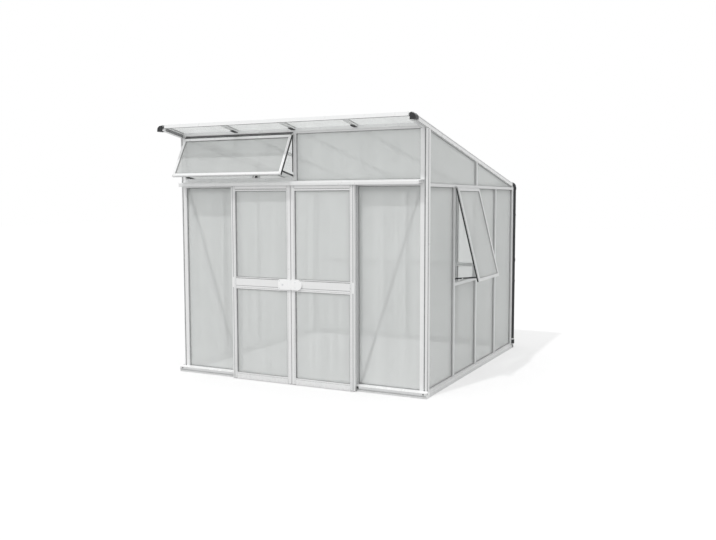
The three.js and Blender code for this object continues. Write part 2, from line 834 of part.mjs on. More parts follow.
// The clip that holds the pipe's foot, on the rear right post.
function pipeClip() {
  const middle = depth + pipe.out;
  const bore = pipe.radius + fit;
  const z = [clip.bottom, clip.top];
  const band = circle(pipe.x, middle, bore + clip.band, pipeSides);
  const arm = rectangle([pipe.x - clip.arm / 2, pipe.x + clip.arm / 2], [depth - lap, middle - bore - lap]);
  return joined(
    extruded("z", band, ...z, [circle(pipe.x, middle, bore, pipeSides)]),
    extruded("z", arm, ...z),
  );
}

// Doors are drawn for the right-hand one, X from the line where they meet.
const doorFront = -door.face;
const doorBack = door.thickness - door.face;
const doorSlot = [doorFront + doorPane.in - fit, doorFront + doorPane.in + pane.thickness + fit];

// A stile's section. Side is 1 when its glazing slot faces away from the meeting line.
function stileBar(edge, size, side) {
  const at = (u) => edge + side * u;
  const line = size - stile.lineAt;
  const section = [
    ...arc(bar.round, doorFront + bar.round, bar.round, 2 * quarterTurn, 3 * quarterTurn, 2),
    [line - stile.line, doorFront],
    [line - stile.line, doorFront + stile.lineDepth],
    [line, doorFront + stile.lineDepth],
    [line, doorFront],
    [size, doorFront],
    [size, doorSlot[0]],
    [size - slot.depth, doorSlot[0]],
    [size - slot.depth, doorSlot[1]],
    [size, doorSlot[1]],
    [size, doorBack],
    [0, doorBack],
  ];
  const chamber = rectangle(
    [door.skin, size - slot.depth - door.skin],
    [doorFront + door.skin, doorBack - door.skin],
  );
  const place = (outline) => outline.map(([u, v]) => [at(u), v]);
  return extruded("z", place(section), door.bottom, doorTop, [place(chamber)]);
}

const stileEdges = [door.gap + stile.meeting, door.outer - stile.outer];

function doorRailBar(section) {
  return extruded("x", section, stileEdges[0] - lap, stileEdges[1] + lap);
}

// A door rail's edge towards a pane: the glazing slot, then the thin line on its face.
function glazedEdge(height, side) {
  return [
    [doorBack, height],
    [doorSlot[1], height],
    [doorSlot[1], height - side * slot.depth],
    [doorSlot[0], height - side * slot.depth],
    [doorSlot[0], height],
    [doorFront, height],
    [doorFront, height - side * doorRail.line],
    [doorFront + stile.lineDepth, height - side * doorRail.line],
    [doorFront + stile.lineDepth, height - side * (doorRail.line + stile.line)],
    [doorFront, height - side * (doorRail.line + stile.line)],
  ];
}

// Bottom rail, open below, and top rail, open above.
function endRail(edge, glazed, side) {
  const floor = glazed - side * (slot.depth + door.skin);
  return doorRailBar([
    ...glazedEdge(glazed, side),
    [doorFront, edge],
    [doorFront + door.skin, edge],
    [doorFront + door.skin, floor],
    [doorBack - door.skin, floor],
    [doorBack - door.skin, edge],
    [doorBack, edge],
  ]);
}

function midRail() {
  const inset = slot.depth + door.skin;
  return doorRailBar([
    ...glazedEdge(doorRail.midTop, 1),
    ...glazedEdge(doorRail.midBottom, -1).reverse(),
    [doorBack, doorRail.midBottom + inset],
    [doorFront + door.skin, doorRail.midBottom + inset],
    [doorFront + door.skin, doorRail.midTop - inset],
    [doorBack, doorRail.midTop - inset],
  ]);
}

// A hanger: a tab from the door's back, its axle, and the grooved wheel on the track's bead.
function doorHanger(place) {
  const x = [place - hanger.width / 2, place + hanger.width / 2];
  const height = shelfTop + shelf.beadRise + fit + wheel.groove;
  const tab = box(x, [doorBack - door.skin, doorBack], [doorTop - hanger.lap, doorTop + hanger.rise]);
  const profile = [
    [0, 0],
    [wheel.flange, 0],
    [wheel.flange, wheel.rim - wheel.ramp],
    [wheel.groove, wheel.rim],
    [wheel.groove, wheel.width - wheel.rim],
    [wheel.flange, wheel.width - wheel.rim + wheel.ramp],
    [wheel.flange, wheel.width],
    [0, wheel.width],
  ];
  const turnedWheel = new THREE.LatheGeometry(points(profile), wheel.faces);
  const rolls = solid(turnedWheel.translate(place, -wheel.at - wheel.width, height));
  const pin = circle(place, height, wheel.axle, wheel.faces / 2);
  const axle = extruded("y", pin, doorBack - lap, -wheel.at - lap);
  return joined(tab, axle, rolls);
}

function doorFrame() {
  const guide = box(
    [tongue.centre - tongue.width / 2, tongue.centre + tongue.width / 2],
    [doorBack - lap, -tongue.reach],
    [tongue.bottom, tongue.top],
  );
  return joined(
    stileBar(door.gap, stile.meeting, 1),
    stileBar(door.outer, stile.outer, -1),
    endRail(door.bottom, doorRail.bottomTop, 1),
    endRail(doorTop, topRailBottom, -1),
    midRail(),
    doorHanger(hanger.near),
    doorHanger(hanger.far),
    guide,
  );
}

function doorSheet(bottom, top) {
  const x = [stileEdges[0] - doorPane.bite, stileEdges[1] + doorPane.bite];
  const y = [doorFront + doorPane.in, doorFront + doorPane.in + pane.thickness];
  return box(x, y, [bottom - doorPane.bite, top + doorPane.bite]);
}

// Lock pieces stand on the doors' faces.
const lockBack = doorFront - fit;
const lockFront = lockBack - lock.thickness;
const cavityDepth = [lockFront + lockCavity.front, lockBack - lockCavity.back];

function lockCavityBox(start, end) {
  const bottom = lock.bottom + lockCavity.rise;
  return box([start, end], cavityDepth, [bottom, bottom + lockCavity.height]);
}

function lockPin(x, rise) {
  const reach = [cavityDepth[0] - lap, cavityDepth[1] + lap];
  return extruded("y", circle(x, lock.bottom + rise, hook.pin, keyhole.faces), ...reach);
}

function lockCase() {
  const left = -lock.left + lock.corner;
  const outline = [
    [-lock.end, lock.bottom],
    [-lock.end, lockTop],
    ...arc(left, lockTop - lock.corner, lock.corner, quarterTurn, 2 * quarterTurn, 4),
    ...arc(left, lock.bottom + lock.corner, lock.corner, 2 * quarterTurn, 3 * quarterTurn, 4),
  ];
  const key = circle(-keyhole.at, lock.bottom + keyhole.rise, keyhole.radius, keyhole.faces);
  const body = cut(
    extruded("y", outline, lockFront, lockBack),
    lockCavityBox(-lockCavity.length, -lock.end + overrun),
    extruded("y", key, lockFront - overrun, lockFront + keyhole.depth),
  );
  return joined(body, lockPin(-hook.pivot, hook.rise));
}

// The hook's outline as it stands when locked, about its pin; at rest it hangs inside the case.
function lockHook() {
  const start = Math.asin(hook.half / hook.boss);
  const outline = [
    ...arc(0, 0, hook.boss, start, 2 * Math.PI - start, keyhole.faces),
    [hook.reach, -hook.half],
    [hook.reach, hookBeak.rise - hookBeak.slant],
    [hook.reach - hookBeak.slant, hookBeak.rise],
    [hook.reach - hookBeak.width, hookBeak.rise],
    [hook.reach - hookBeak.width, hook.half],
  ];
  const middle = (cavityDepth[0] + cavityDepth[1]) / 2;
  const y = [middle - hook.thickness / 2, middle + hook.thickness / 2];
  return extruded("y", outline, ...y, [circle(0, 0, hook.bore, keyhole.faces)]);
}

function lockKeeper() {
  const radius = (lockTop - lock.bottom) / 2;
  const middle = (lockTop + lock.bottom) / 2;
  const outline = [
    [lock.end, lockTop],
    [lock.end, lock.bottom],
    ...arc(keeper.right - radius, middle, radius, -quarterTurn, quarterTurn, 16),
  ];
  const body = cut(
    extruded("y", outline, lockFront, lockBack),
    lockCavityBox(lock.end - overrun, lockCavity.keeperLength),
  );
  return joined(body, lockPin(keeper.pinAt, keeper.pinRise));
}

// A sash's four members as one mitred ring, in its own axes: hinge line at 0, X along it, Z up.
function mitredFrame(start, end, length) {
  const [outer, inner] = [sash.inner - sash.thickness, sash.inner];
  const section = [
    [0, inner],
    [sash.member, inner],
    [sash.member, inner - sash.slotBack],
    [sash.member - slot.depth, inner - sash.slotBack],
    [sash.member - slot.depth, inner - sash.slotFront],
    [sash.member, inner - sash.slotFront],
    [sash.member, outer + sash.bevel],
    [sash.member - sash.bevel, outer],
    [sash.bevel, outer],
    [0, outer + sash.bevel],
  ];
  const corners = section.flatMap(([inset, y]) => [
    [start + inset, y, -length + inset],
    [end - inset, y, -length + inset],
    [end - inset, y, -sash.drop - inset],
    [start + inset, y, -sash.drop - inset],
  ]);
  const faces = [];
  section.forEach((_, i) => {
    const next = (i + 1) % section.length;
    for (let corner = 0; corner < 4; corner += 1) {
      const after = (corner + 1) % 4;
      const [a, b] = [i * 4 + corner, i * 4 + after];
      const [c, d] = [next * 4 + after, next * 4 + corner];
      faces.push(a, c, b, a, d, c);
    }
  });
  const geometry = new THREE.BufferGeometry();
  geometry.setAttribute("position", new THREE.Float32BufferAttribute(corners.flat(), 3));
  return solid(geometry.setIndex(faces));
}

// The pin that a stay turns on, with its head and the lug that carries it, behind a sash.
function stayMount(x, side, fromHinge) {
  const half = stay.thickness / 2;
  const lug = [half + stayLug.gap, half + stayLug.gap + stayLug.thickness];
  const along = (from, to) => [x + side * from, x + side * to].sort((a, b) => a - b);
  const outline = [
    [sash.inner - lap, -fromHinge - stay.eye],
    ...arc(stay.inset, -fromHinge, stay.eye, -quarterTurn, quarterTurn, 6),
    [sash.inner - lap, -fromHinge + stay.eye],
  ];
  const pin = circle(stay.inset, -fromHinge, stay.pin, hinge.faces);
  const head = circle(stay.inset, -fromHinge, stay.head, hinge.faces);
  const headAt = [-half - stayLug.gap - stay.headThickness, -half - stayLug.gap];
  return joined(
    extruded("x", outline, ...along(...lug)),
    extruded("x", pin, ...along(headAt[0], lug[1] - lap)),
    extruded("x", head, ...along(...headAt)),
  );
}

function sashFrame(start, end, length, mounts) {
  const neck = rectangle([-hinge.neck / 2, hinge.neck / 2], [-sash.drop - lap, 0]);
  return joined(
    mitredFrame(start, end, length),
    extruded("x", circle(0, 0, hinge.bead, hinge.faces), start, end),
    extruded("x", neck, start, end),
    mounts,
  );
}

function sashPane(start, end, length) {
  const inset = sash.member - pane.bite;
  const y = [sash.inner - sash.slotFront + fit, sash.inner - sash.slotBack - fit];
  return box([start + inset, end - inset], y, [inset - length, -sash.drop - inset]);
}

// A stay from its eye at the origin, along Y towards the inside.
function stayBar(length) {
  const start = Math.asin(stay.half / stay.eye);
  const outline = [
    ...arc(0, 0, stay.eye, start, 2 * Math.PI - start, keyhole.faces),
    ...arc(length - stay.half, 0, stay.half, -quarterTurn, quarterTurn, 6),
  ];
  const holes = [circle(0, 0, stay.bore, hinge.faces)];
  return extruded("x", outline, -stay.thickness / 2, stay.thickness / 2, holes);
}

// How far below level a stay points while it rests over its saddle's floor.
function stayFall(open, fromHinge, hingeHeight, railTop) {
  const outward = hinge.out + fromHinge * Math.sin(open) - stay.inset * Math.cos(open);
  const height = hingeHeight - fromHinge * Math.cos(open) - stay.inset * Math.sin(open);
  const middle = (saddle.front + saddle.back) / 2;
  return Math.atan2(height - railTop - saddle.centre, outward + middle);
}

// Scene graph: one group per set of axes, one named mesh per piece.
const greenhouse = new THREE.Group();

function group(parent, place = [0, 0, 0], turn = [0, 0, 0]) {
  const made = new THREE.Group();
  made.position.set(...place);
  made.rotation.set(...turn);
  parent.add(made);
  return made;
}

function add(parent, name, look, piece) {
  const geometry = geometryOf(piece);
  geometry.computeVertexNormals();
  const mesh = new THREE.Mesh(geometry, new THREE.MeshStandardMaterial(looks[look]));
  mesh.name = name;
  parent.add(mesh);
}

function addFront() {
  add(greenhouse, "front_sill", "frame", frontSillBar());
  add(greenhouse, "door_track", "header", doorHeader());
  add(greenhouse, "front_top_plate", "frame", frontTopPlate());
  add(greenhouse, "front_upper_pane", "sheet", frontUpperPane());
  for (const [name, side] of [["left", -1], ["right", 1]]) {
    add(greenhouse, `${name}_door_jamb`, "frame", doorJamb(side));
    add(greenhouse, `front_${name}_pane`, "sheet", frontPane(side));
    add(greenhouse, `${name}_brace`, "frame", frontBrace(side));
  }
}

function addPosts() {
  add(greenhouse, "front_left_post", "frame", cornerPost(-halfWidth, 0, 0));
  add(greenhouse, "front_right_post", "frame", cornerPost(halfWidth, 0, 1));
  const clipped = joined(cornerPost(halfWidth, depth, 2), pipeClip());
  add(greenhouse, "rear_right_post", "frame", clipped);
  add(greenhouse, "rear_left_post", "frame", cornerPost(-halfWidth, depth, 3));
}

function sideWall(side) {
  const mirror = group(greenhouse);
  mirror.scale.x = side;
  return group(mirror, [halfWidth, 0, 0], [0, 0, quarterTurn]);
}

function addSide(name, parent, hasWindow) {
  add(parent, `${name}_wall_frame`, "frame", sideWallFrame(hasWindow));
  for (let i = 0; i < wall.bays; i += 1) {
    const top = hasWindow && i === 1 ? windowRailTop - bar.face : eave.bottom;
    add(parent, `${name}_pane_${i + 1}`, "sheet", sidePane(i, top));
  }
  const front = gablePane(behindPost, gableBarPlace - besideBar);
  const rear = gablePane(gableBarPlace + besideBar, depth - behindPost);
  add(parent, `${name}_gable_pane_front`, "sheet", front);
  add(parent, `${name}_gable_pane_rear`, "sheet", rear);
}

function addRear() {
  const rear = group(greenhouse, [0, depth, 0], [0, 0, 2 * quarterTurn]);
  add(rear, "rear_wall_frame", "frame", rearWallFrame());
  for (let i = 0; i < wall.bays; i += 1) {
    add(rear, `rear_pane_${i + 1}`, "sheet", rearPane(i));
  }
  add(greenhouse, "rear_gutter", "frame", rearGutter());
  add(greenhouse, "downpipe", "black", downpipe());
}

function addRoof() {
  const top = group(greenhouse, [0, 0, roof.top], [-roof.slope, 0, 0]);
  add(top, "roof_frame", "frame", roofFrame());
  for (let i = 0; i < wall.bays; i += 1) {
    add(top, `roof_pane_${i + 1}`, "sheet", roofPane(i));
  }
  for (const [name, side] of [["right", 1], ["left", -1]]) {
    const slope = group(top);
    slope.scale.x = side;
    add(slope, `${name}_roof_edge`, "frame", roofEdgeBar());
    const level = group(greenhouse);
    level.scale.x = side;
    add(level, `${name}_roof_cap`, "black", roofCap());
  }
}

function addDoors() {
  for (const [name, side] of [["right", 1], ["left", -1]]) {
    const parent = group(greenhouse);
    parent.scale.x = side;
    add(parent, `${name}_door_frame`, "frame", doorFrame());
    add(parent, `${name}_door_upper_pane`, "sheet", doorSheet(doorRail.midTop, topRailBottom));
    add(parent, `${name}_door_lower_pane`, "sheet", doorSheet(doorRail.bottomTop, doorRail.midBottom));
  }
  add(greenhouse, "lock_case", "header", lockCase());
  add(greenhouse, "lock_keeper", "header", lockKeeper());
  const pivot = group(greenhouse, [-hook.pivot, 0, lock.bottom + hook.rise], [0, quarterTurn, 0]);
  add(pivot, "lock_hook", "zinc", lockHook());
}

function addVent() {
  const swing = group(greenhouse, [0, -hinge.out, ventHinge], [-vent.open, 0, 0]);
  const fromHinge = ventLength - ventStay.fromEnd;
  const places = ventStayPlaces();
  const mounts = places.map((x, i) => stayMount(x, i ? -1 : 1, fromHinge));
  add(swing, "vent_sash", "frame", sashFrame(vent.start, vent.end, ventLength, mounts));
  add(swing, "vent_pane", "sheet", sashPane(vent.start, vent.end, ventLength));
  const fall = stayFall(vent.open, fromHinge, ventHinge, ventRailTop);
  places.forEach((x, i) => {
    const pivot = group(swing, [x, stay.inset, -fromHinge], [vent.open - fall, 0, 0]);
    add(pivot, i ? "vent_stay_right" : "vent_stay_left", "frame", stayBar(ventStay.length));
  });
}

function addWindow(parent) {
  const swing = group(parent, [0, -hinge.out, windowHinge], [-sideWindow.open, 0, 0]);
  const fromHinge = windowLength - windowStay.fromEnd;
  const span = windowSpan();
  const place = windowStayPlace();
  const mount = stayMount(place, 1, fromHinge);
  add(swing, "window_sash", "frame", sashFrame(...span, windowLength, mount));
  add(swing, "window_pane", "sheet", sashPane(...span, windowLength));
  const fall = stayFall(sideWindow.open, fromHinge, windowHinge, windowRailTop);
  const at = [place, stay.inset, -fromHinge];
  const pivot = group(swing, at, [sideWindow.open - fall, 0, 0]);
  add(pivot, "window_stay", "frame", stayBar(windowStay.length));
}

addFront();
addPosts();
const rightWall = sideWall(1);
addSide("right", rightWall, true);
addSide("left", sideWall(-1), false);
addRear();
addRoof();
addDoors();
addVent();
addWindow(rightWall);

export default greenhouse;
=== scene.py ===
"""Looks of the mono-pitch greenhouse: materials, seals, screws and fittings, light and camera.

Metres, X right, Y back, Z up, on the ground at the middle of the front wall's outer plane.
"""

import math

import bmesh
import bpy
from mathutils import Matrix, Vector


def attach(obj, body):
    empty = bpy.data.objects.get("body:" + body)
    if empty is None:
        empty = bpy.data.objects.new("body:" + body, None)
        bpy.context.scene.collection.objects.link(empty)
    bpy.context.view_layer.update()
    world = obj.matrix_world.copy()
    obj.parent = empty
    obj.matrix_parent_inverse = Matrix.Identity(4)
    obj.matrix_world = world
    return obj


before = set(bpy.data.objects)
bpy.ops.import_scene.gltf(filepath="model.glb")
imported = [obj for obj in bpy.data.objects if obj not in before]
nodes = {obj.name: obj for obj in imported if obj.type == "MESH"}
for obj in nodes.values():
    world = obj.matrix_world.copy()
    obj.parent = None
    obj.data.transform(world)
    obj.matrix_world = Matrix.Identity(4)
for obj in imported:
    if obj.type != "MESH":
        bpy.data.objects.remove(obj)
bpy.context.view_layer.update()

X_AXIS = Vector((1, 0, 0))
Y_AXIS = Vector((0, 1, 0))
Z_AXIS = Vector((0, 0, 1))

# Wall planes, bays and the daylight edges of the panes.
HALF_WIDTH = 1.285
DEPTH = 2.638
BAY = 0.62
SIDE_BAY = 0.637
MARGIN = 0.045
HALF_BAR = 0.015
POST = 0.065
SILL_TOP = 0.057
PANE_FACE = 0.018
PANE_THICKNESS = 0.006
HEADER_BOTTOM = 1.798
HEADER_TOP = 1.854
VENT_RAIL_TOP = 1.882
PLATE_BOTTOM = 2.274
EAVE_BOTTOM = 1.79
EAVE_TOP = 1.818
WINDOW_RAIL_BOTTOM = 0.89
WINDOW_RAIL_TOP = 0.92
REAR_PLATE_BOTTOM = 1.8

# Corner posts: side, Y and inward way of each, and the groove in each outer face, from the corner.
CORNERS = ((1, 0, 1), (-1, 0, 1), (1, DEPTH, -1), (-1, DEPTH, -1))
GROOVE = (0.0172, 0.0278)
GROOVE_FLOOR = 0.0108

# Roof: its reference line at the front wall, its slope, and how far it runs. Levels are square to it.
ROOF_TOP = 2.322
SLOPE = 0.1731
ROOF_FRONT = -0.289
ROOF_START = ROOF_FRONT / math.cos(SLOPE)
ROOF_END = DEPTH / math.cos(SLOPE)
ROOF_UP = Matrix.Rotation(-SLOPE, 3, "X") @ Z_AXIS
ROOF_EDGE = 1.27
ROOF_EDGE_WIDTH = 0.038
ROOF_EDGE_FLANGE = 0.024
ROOF_EDGE_DROP = -0.046
RAFTERS = (-BAY, 0, BAY)
RAFTER_CAP = 0.015
RAFTER_UNDER = -0.015
CAP_TOP = 0.0066
SHEET_TOP = 0.0043
SHEET_UNDER = -0.0017

# Hinged sashes in their own axes: X along the hinge, Y inwards, Z up, from the hinge line.
HINGE_OUT = 0.014
SASH_MEMBER = 0.027
SASH_DROP = 0.007
SASH_OUTER = -0.0105
SASH_INNER = 0.0115
SASH_PANE_FACE = -0.0025
VENT = {
    "wall": "front", "start": -1.212, "end": -0.012, "length": 0.416, "height": 2.268,
    "open": 0.5061, "rail_top": VENT_RAIL_TOP, "pin_down": 0.371, "stay_length": 0.33,
    "seal_leg": 0.0185,
}
WINDOW = {
    "wall": "right", "start": 0.6905, "end": 1.3105, "length": 0.878, "height": 1.792,
    "open": 0.2443, "rail_top": WINDOW_RAIL_TOP, "pin_down": 0.858, "stay_length": 0.4,
    "seal_leg": 0.011,
}

# Stays: each one's sash, its place along the sash, and the side that its pin's cap is on.
STAYS = (
    ("vent_stay_left", VENT, VENT["start"] + 0.012, 1),
    ("vent_stay_right", VENT, VENT["end"] - 0.012, -1),
    ("window_stay", WINDOW, 1.0005, 1),
)
PIN_IN = 0.022
PIN_HALF = 0.0058
SADDLE_IN = 0.03175
SADDLE_RISE = 0.0115

# Doors, as distances to each side of the line where they meet.
DOORS = (("left_door", -1), ("right_door", 1))
DOOR_GAP = 0.003
DOOR_OUTER = 0.643
DOOR_FACE = -0.08
DOOR_BACK = -0.052
DOOR_BOTTOM = 0.008
DOOR_TOP = 1.815
DOOR_PANE_FACE = -0.069
STILE_MEETING = 0.039
STILE_OUTER = 0.046
STILES = ((DOOR_GAP, DOOR_GAP + STILE_MEETING), (DOOR_OUTER - STILE_OUTER, DOOR_OUTER))
STILE_EDGES = (STILES[0][1], STILES[1][0])
DOOR_LEVELS = ((0.065, 0.858), (0.967, 1.763))
# The lengths of a stile's face below and above the lock, and the faces of the three rails.
STILE_SPANS = ((0.012, 0.868), (0.964, 1.811))
RAIL_FACES = ((DOOR_BOTTOM + 0.001, 0.0645), (0.8585, 0.9665), (1.7635, DOOR_TOP - 0.001))
LOCK_FACE = -0.0963

# A hairline's half width, and the rise that keeps a thin piece just off the face it lies on.
LINE_HALF = 0.0004
FILM = 0.0001

# Head radii of the screws.
LOCK_SCREW = 0.0026
SASH_SCREW = 0.0028
PLATE_SCREW = 0.003
DOOR_SCREW = 0.0032
ROOF_SCREW = 0.0036


class Shader:
    """A material's node tree, with short calls that add nodes and link them."""

    def __init__(self, name):
        self.material = bpy.data.materials.new(name)
        self.material.use_nodes = True
        self.tree = self.material.node_tree
        self.tree.nodes.clear()
        self.out = self.tree.nodes.new("ShaderNodeOutputMaterial")
        self.place = self.node("TexCoord").outputs["Object"]

    def node(self, kind, inputs=(), **settings):
        made = self.tree.nodes.new("ShaderNode" + kind)
        for key, value in settings.items():
            setattr(made, key, value)
        for key, value in dict(inputs).items():
            self.feed(made.inputs[key], value)
        return made

    def feed(self, socket, value):
        if isinstance(value, bpy.types.NodeSocket):
            self.tree.links.new(value, socket)
        else:
            socket.default_value = value

    def maths(self, operation, *values):
        return self.node("Math", enumerate(values), operation=operation).outputs[0]

    def noise(self, scale, detail=3, stretch=(1, 1, 1)):
        spread = self.node("Mapping", {"Vector": self.place, "Scale": stretch})
        inputs = {"Vector": spread.outputs[0], "Scale": scale, "Detail": detail, "Roughness": 0.55}
        return self.node("TexNoise", inputs).outputs["Fac"]

    def ranged(self, value, low, high, to_low=0.0, to_high=1.0, smooth=False):
        inputs = {0: value, 1: low, 2: high, 3: to_low, 4: to_high}
        kind = "SMOOTHSTEP" if smooth else "LINEAR"
        return self.node("MapRange", inputs, interpolation_type=kind).outputs[0]

    def mixed(self, share, first, second):
        return self.node("Mix", {0: share, 6: first, 7: second}, data_type="RGBA").outputs[2]

    def bump(self, height, distance, strength):
        inputs = {"Height": height, "Distance": distance, "Strength": strength}
        return self.node("Bump", inputs).outputs[0]

    def blend(self, share, first, second):
        return self.node("MixShader", {0: share, 1: first, 2: second}).outputs[0]

    def finish(self, surface):
        self.tree.links.new(surface, self.out.inputs["Surface"])
        return self.material


# Dirt that rain splashes on the metal: its colour, and the heights between which it fades out.
DIRT = (0.42, 0.41, 0.38, 1)
SPLASH = (0.03, 0.09)


def profile_material(name, light, dark, metallic, roughness, coat):
    """Coated aluminium: extrusion streaks, faint clouding, powder grain and a little dirt low down."""
    s = Shader(name)
    clouds = s.noise(3.2, 4)
    upright = s.noise(90, 2, (1, 1, 0.02))
    level = s.noise(90, 2, (0.02, 1, 1))
    streaks = s.maths("MULTIPLY", upright, level)
    tone = s.maths("ADD", s.maths("MULTIPLY", clouds, 0.6), s.maths("MULTIPLY", streaks, 0.9))
    colour = s.mixed(s.ranged(tone, 0.3, 0.8), dark + (1,), light + (1,))
    height = s.node("SeparateXYZ", {0: s.place}).outputs["Z"]
    uneven = s.maths("ADD", height, s.maths("MULTIPLY", clouds, 0.05))
    splash = s.ranged(uneven, SPLASH[0], SPLASH[1], 1, 0, True)
    dirt = s.maths("MULTIPLY", splash, s.ranged(s.noise(60, 5), 0.45, 0.75, 0, 0.35))
    colour = s.mixed(dirt, colour, DIRT)
    inputs = {
        "Base Color": colour,
        "Metallic": metallic,
        "Roughness": s.ranged(s.noise(14, 4), 0.3, 0.7, roughness - 0.05, roughness + 0.08),
        "Normal": s.bump(s.noise(1300, 2), 0.00012, 0.5),
        "Coat Weight": coat,
        "Coat Roughness": 0.25,
    }
    return s.finish(s.node("BsdfPrincipled", inputs).outputs[0])


# Twin-wall sheet: the pitch of its ribs and how far one reaches from its middle, in metres, and the
# heights of the painted shade that darkens the sheets under the header and the eaves.
RIB_PITCH = 0.0104
RIB_FADE = (0.0003, 0.0011)
HEADER_SHADE_FADE = (1.725, 1.795)
HEADER_SHADE_TOP = 1.82
HEADER_SHADE_SHARE = 0.3


def tinted(tone, red, green, blue):
    """A grey tone with its channels scaled apart, for the sheet's faint green tint."""
    return (min(1, tone * red), min(1, tone * green), min(1, tone * blue), 1)


def sheet_material(name, across, clear, tone):
    """Frosted twin-wall sheet: ribs at an even pitch, soft vertical streaks, see-through between ribs."""
    s = Shader(name)
    parts = s.node("SeparateXYZ", {0: s.place})
    offset = s.maths("PINGPONG", parts.outputs[across], RIB_PITCH / 2)
    rib = s.ranged(offset, RIB_FADE[0], RIB_FADE[1], 1, 0, True)
    stretch = (1, 0.012, 0.012) if across == "X" else (0.012, 1, 0.012)
    streaks = s.noise(46, 3, stretch)
    broad = s.noise(7, 2, stretch)
    cloud = s.noise(2.1, 3)
    shade = s.maths("ADD", s.maths("MULTIPLY", streaks, 0.5), s.maths("MULTIPLY", broad, 0.35))
    shade = s.maths("ADD", shade, s.maths("MULTIPLY", cloud, 0.15))
    shade = s.ranged(shade, 0.36, 0.66)
    dark, light = tinted(tone, 0.925, 0.935, 0.93), tinted(tone, 1.07, 1.08, 1.075)
    colour = s.mixed(shade, dark, light)
    colour = s.mixed(s.maths("MULTIPLY", rib, 0.35), colour, tinted(tone, 0.76, 0.77, 0.765))
    # Painted shade: the sheet darkens between these heights, standing in for the shadow under the
    # header's hood.
    header_shade = s.ranged(parts.outputs["Z"], HEADER_SHADE_FADE[0], HEADER_SHADE_FADE[1], 0, HEADER_SHADE_SHARE, True)
    header_shade = s.maths("MULTIPLY", header_shade, s.maths("LESS_THAN", parts.outputs["Z"], HEADER_SHADE_TOP))
    colour = s.mixed(header_shade, colour, tinted(tone, 0.5, 0.505, 0.5))
    inputs = {
        "Base Color": colour,
        "Roughness": 0.42,
        "Normal": s.bump(rib, 0.0004, 0.6),
        "Specular IOR Level": 0.4,
    }
    surface = s.node("BsdfPrincipled", inputs)
    frost = s.bump(s.noise(420, 3), 0.0003, 0.35)
    passed = s.node("BsdfTranslucent", {"Color": colour, "Normal": frost})
    body = s.blend(0.45, surface.outputs[0], passed.outputs[0])
    through = s.node("BsdfTransparent", {"Color": (0.95, 0.957, 0.954, 1)})
    solid = s.maths("SUBTRACT", 1.0 - clear, s.maths("MULTIPLY", shade, 0.08))
    solid = s.maths("MAXIMUM", solid, s.maths("MULTIPLY", rib, 0.8))
    return s.finish(s.blend(solid, through.outputs[0], body))


def plastic_material(name, colour, roughness, grain=700):
    """Moulded plastic: fine grain, faint cloudiness and a slight bloom."""
    s = Shader(name)
    cloud = s.noise(22, 4)
    light = tuple(min(1, value * 1.35 + 0.006) for value in colour)
    inputs = {
        "Base Color": s.mixed(s.ranged(cloud, 0.35, 0.7), colour + (1,), light + (1,)),
        "Roughness": s.ranged(cloud, 0.3, 0.7, roughness - 0.06, roughness + 0.08),
        "Normal": s.bump(s.noise(grain, 3), 0.0002, 0.5),
    }
    return s.finish(s.node("BsdfPrincipled", inputs).outputs[0])


def steel_material(name, colour, roughness):
    """Plated steel: brushed streaks and small stains."""
    s = Shader(name)
    brushed = s.noise(1500, 2, (0.05, 1, 1))
    dark = tuple(value * 0.8 for value in colour)
    inputs = {
        "Base Color": s.mixed(s.ranged(s.noise(120, 4), 0.45, 0.75), colour + (1,), dark + (1,)),
        "Metallic": 1.0,
        "Roughness": s.ranged(brushed, 0.3, 0.7, roughness - 0.07, roughness + 0.1),
        "Normal": s.bump(brushed, 0.00005, 0.4),
    }
    return s.finish(s.node("BsdfPrincipled", inputs).outputs[0])


def brush_material(name, dark, light):
    """Pile of a brush seal: fine bristles with gaps of tone between them."""
    s = Shader(name)
    strands = s.noise(2600, 2, (1, 1, 0.15))
    inputs = {
        "Base Color": s.mixed(s.ranged(strands, 0.35, 0.65), dark + (1,), light + (1,)),
        "Roughness": 0.85,
        "Normal": s.bump(strands, 0.0006, 0.9),
        "Sheen Weight": 0.3,
    }
    return s.finish(s.node("BsdfPrincipled", inputs).outputs[0])


# Coatings: light tone, dark tone, how metallic, how rough, and the weight of the clear coat.
silver = profile_material("silver_coated", (0.74, 0.745, 0.745), (0.66, 0.668, 0.668), 0.3, 0.34, 0.1)
bright = profile_material("bright_coat_and_painted_light", (0.87, 0.873, 0.872), (0.81, 0.815, 0.814), 0.1, 0.32, 0.2)
white = profile_material("white_coat_and_painted_light", (0.93, 0.935, 0.933), (0.87, 0.876, 0.874), 0.05, 0.3, 0.25)
gloss = profile_material("gloss_white", (0.97, 0.972, 0.971), (0.95, 0.953, 0.952), 0.0, 0.24, 0.4)
# A darker coat for a strip down each door's outer stile, painted shade.
painted_stile_shade = profile_material("painted_stile_shade", (0.6, 0.605, 0.606), (0.53, 0.536, 0.537), 0.3, 0.38, 0.05)
mill = profile_material("mill_finish", (0.48, 0.486, 0.489), (0.39, 0.395, 0.398), 0.5, 0.42, 0.0)
dark_bar = profile_material("dark_coated", (0.1, 0.102, 0.104), (0.07, 0.071, 0.073), 0.4, 0.4, 0.1)
# Sheets: the axis that the ribs follow each other along, how clear, and the tone.
sheet_x = sheet_material("twin_wall_across_x", "X", 0.38, 0.92)
sheet_y = sheet_material("twin_wall_across_y", "Y", 0.38, 0.86)
roof_sheet = sheet_material("twin_wall_roof", "X", 0.55, 0.86)
vent_sheet = sheet_material("twin_wall_vent", "X", 0.42, 0.8)
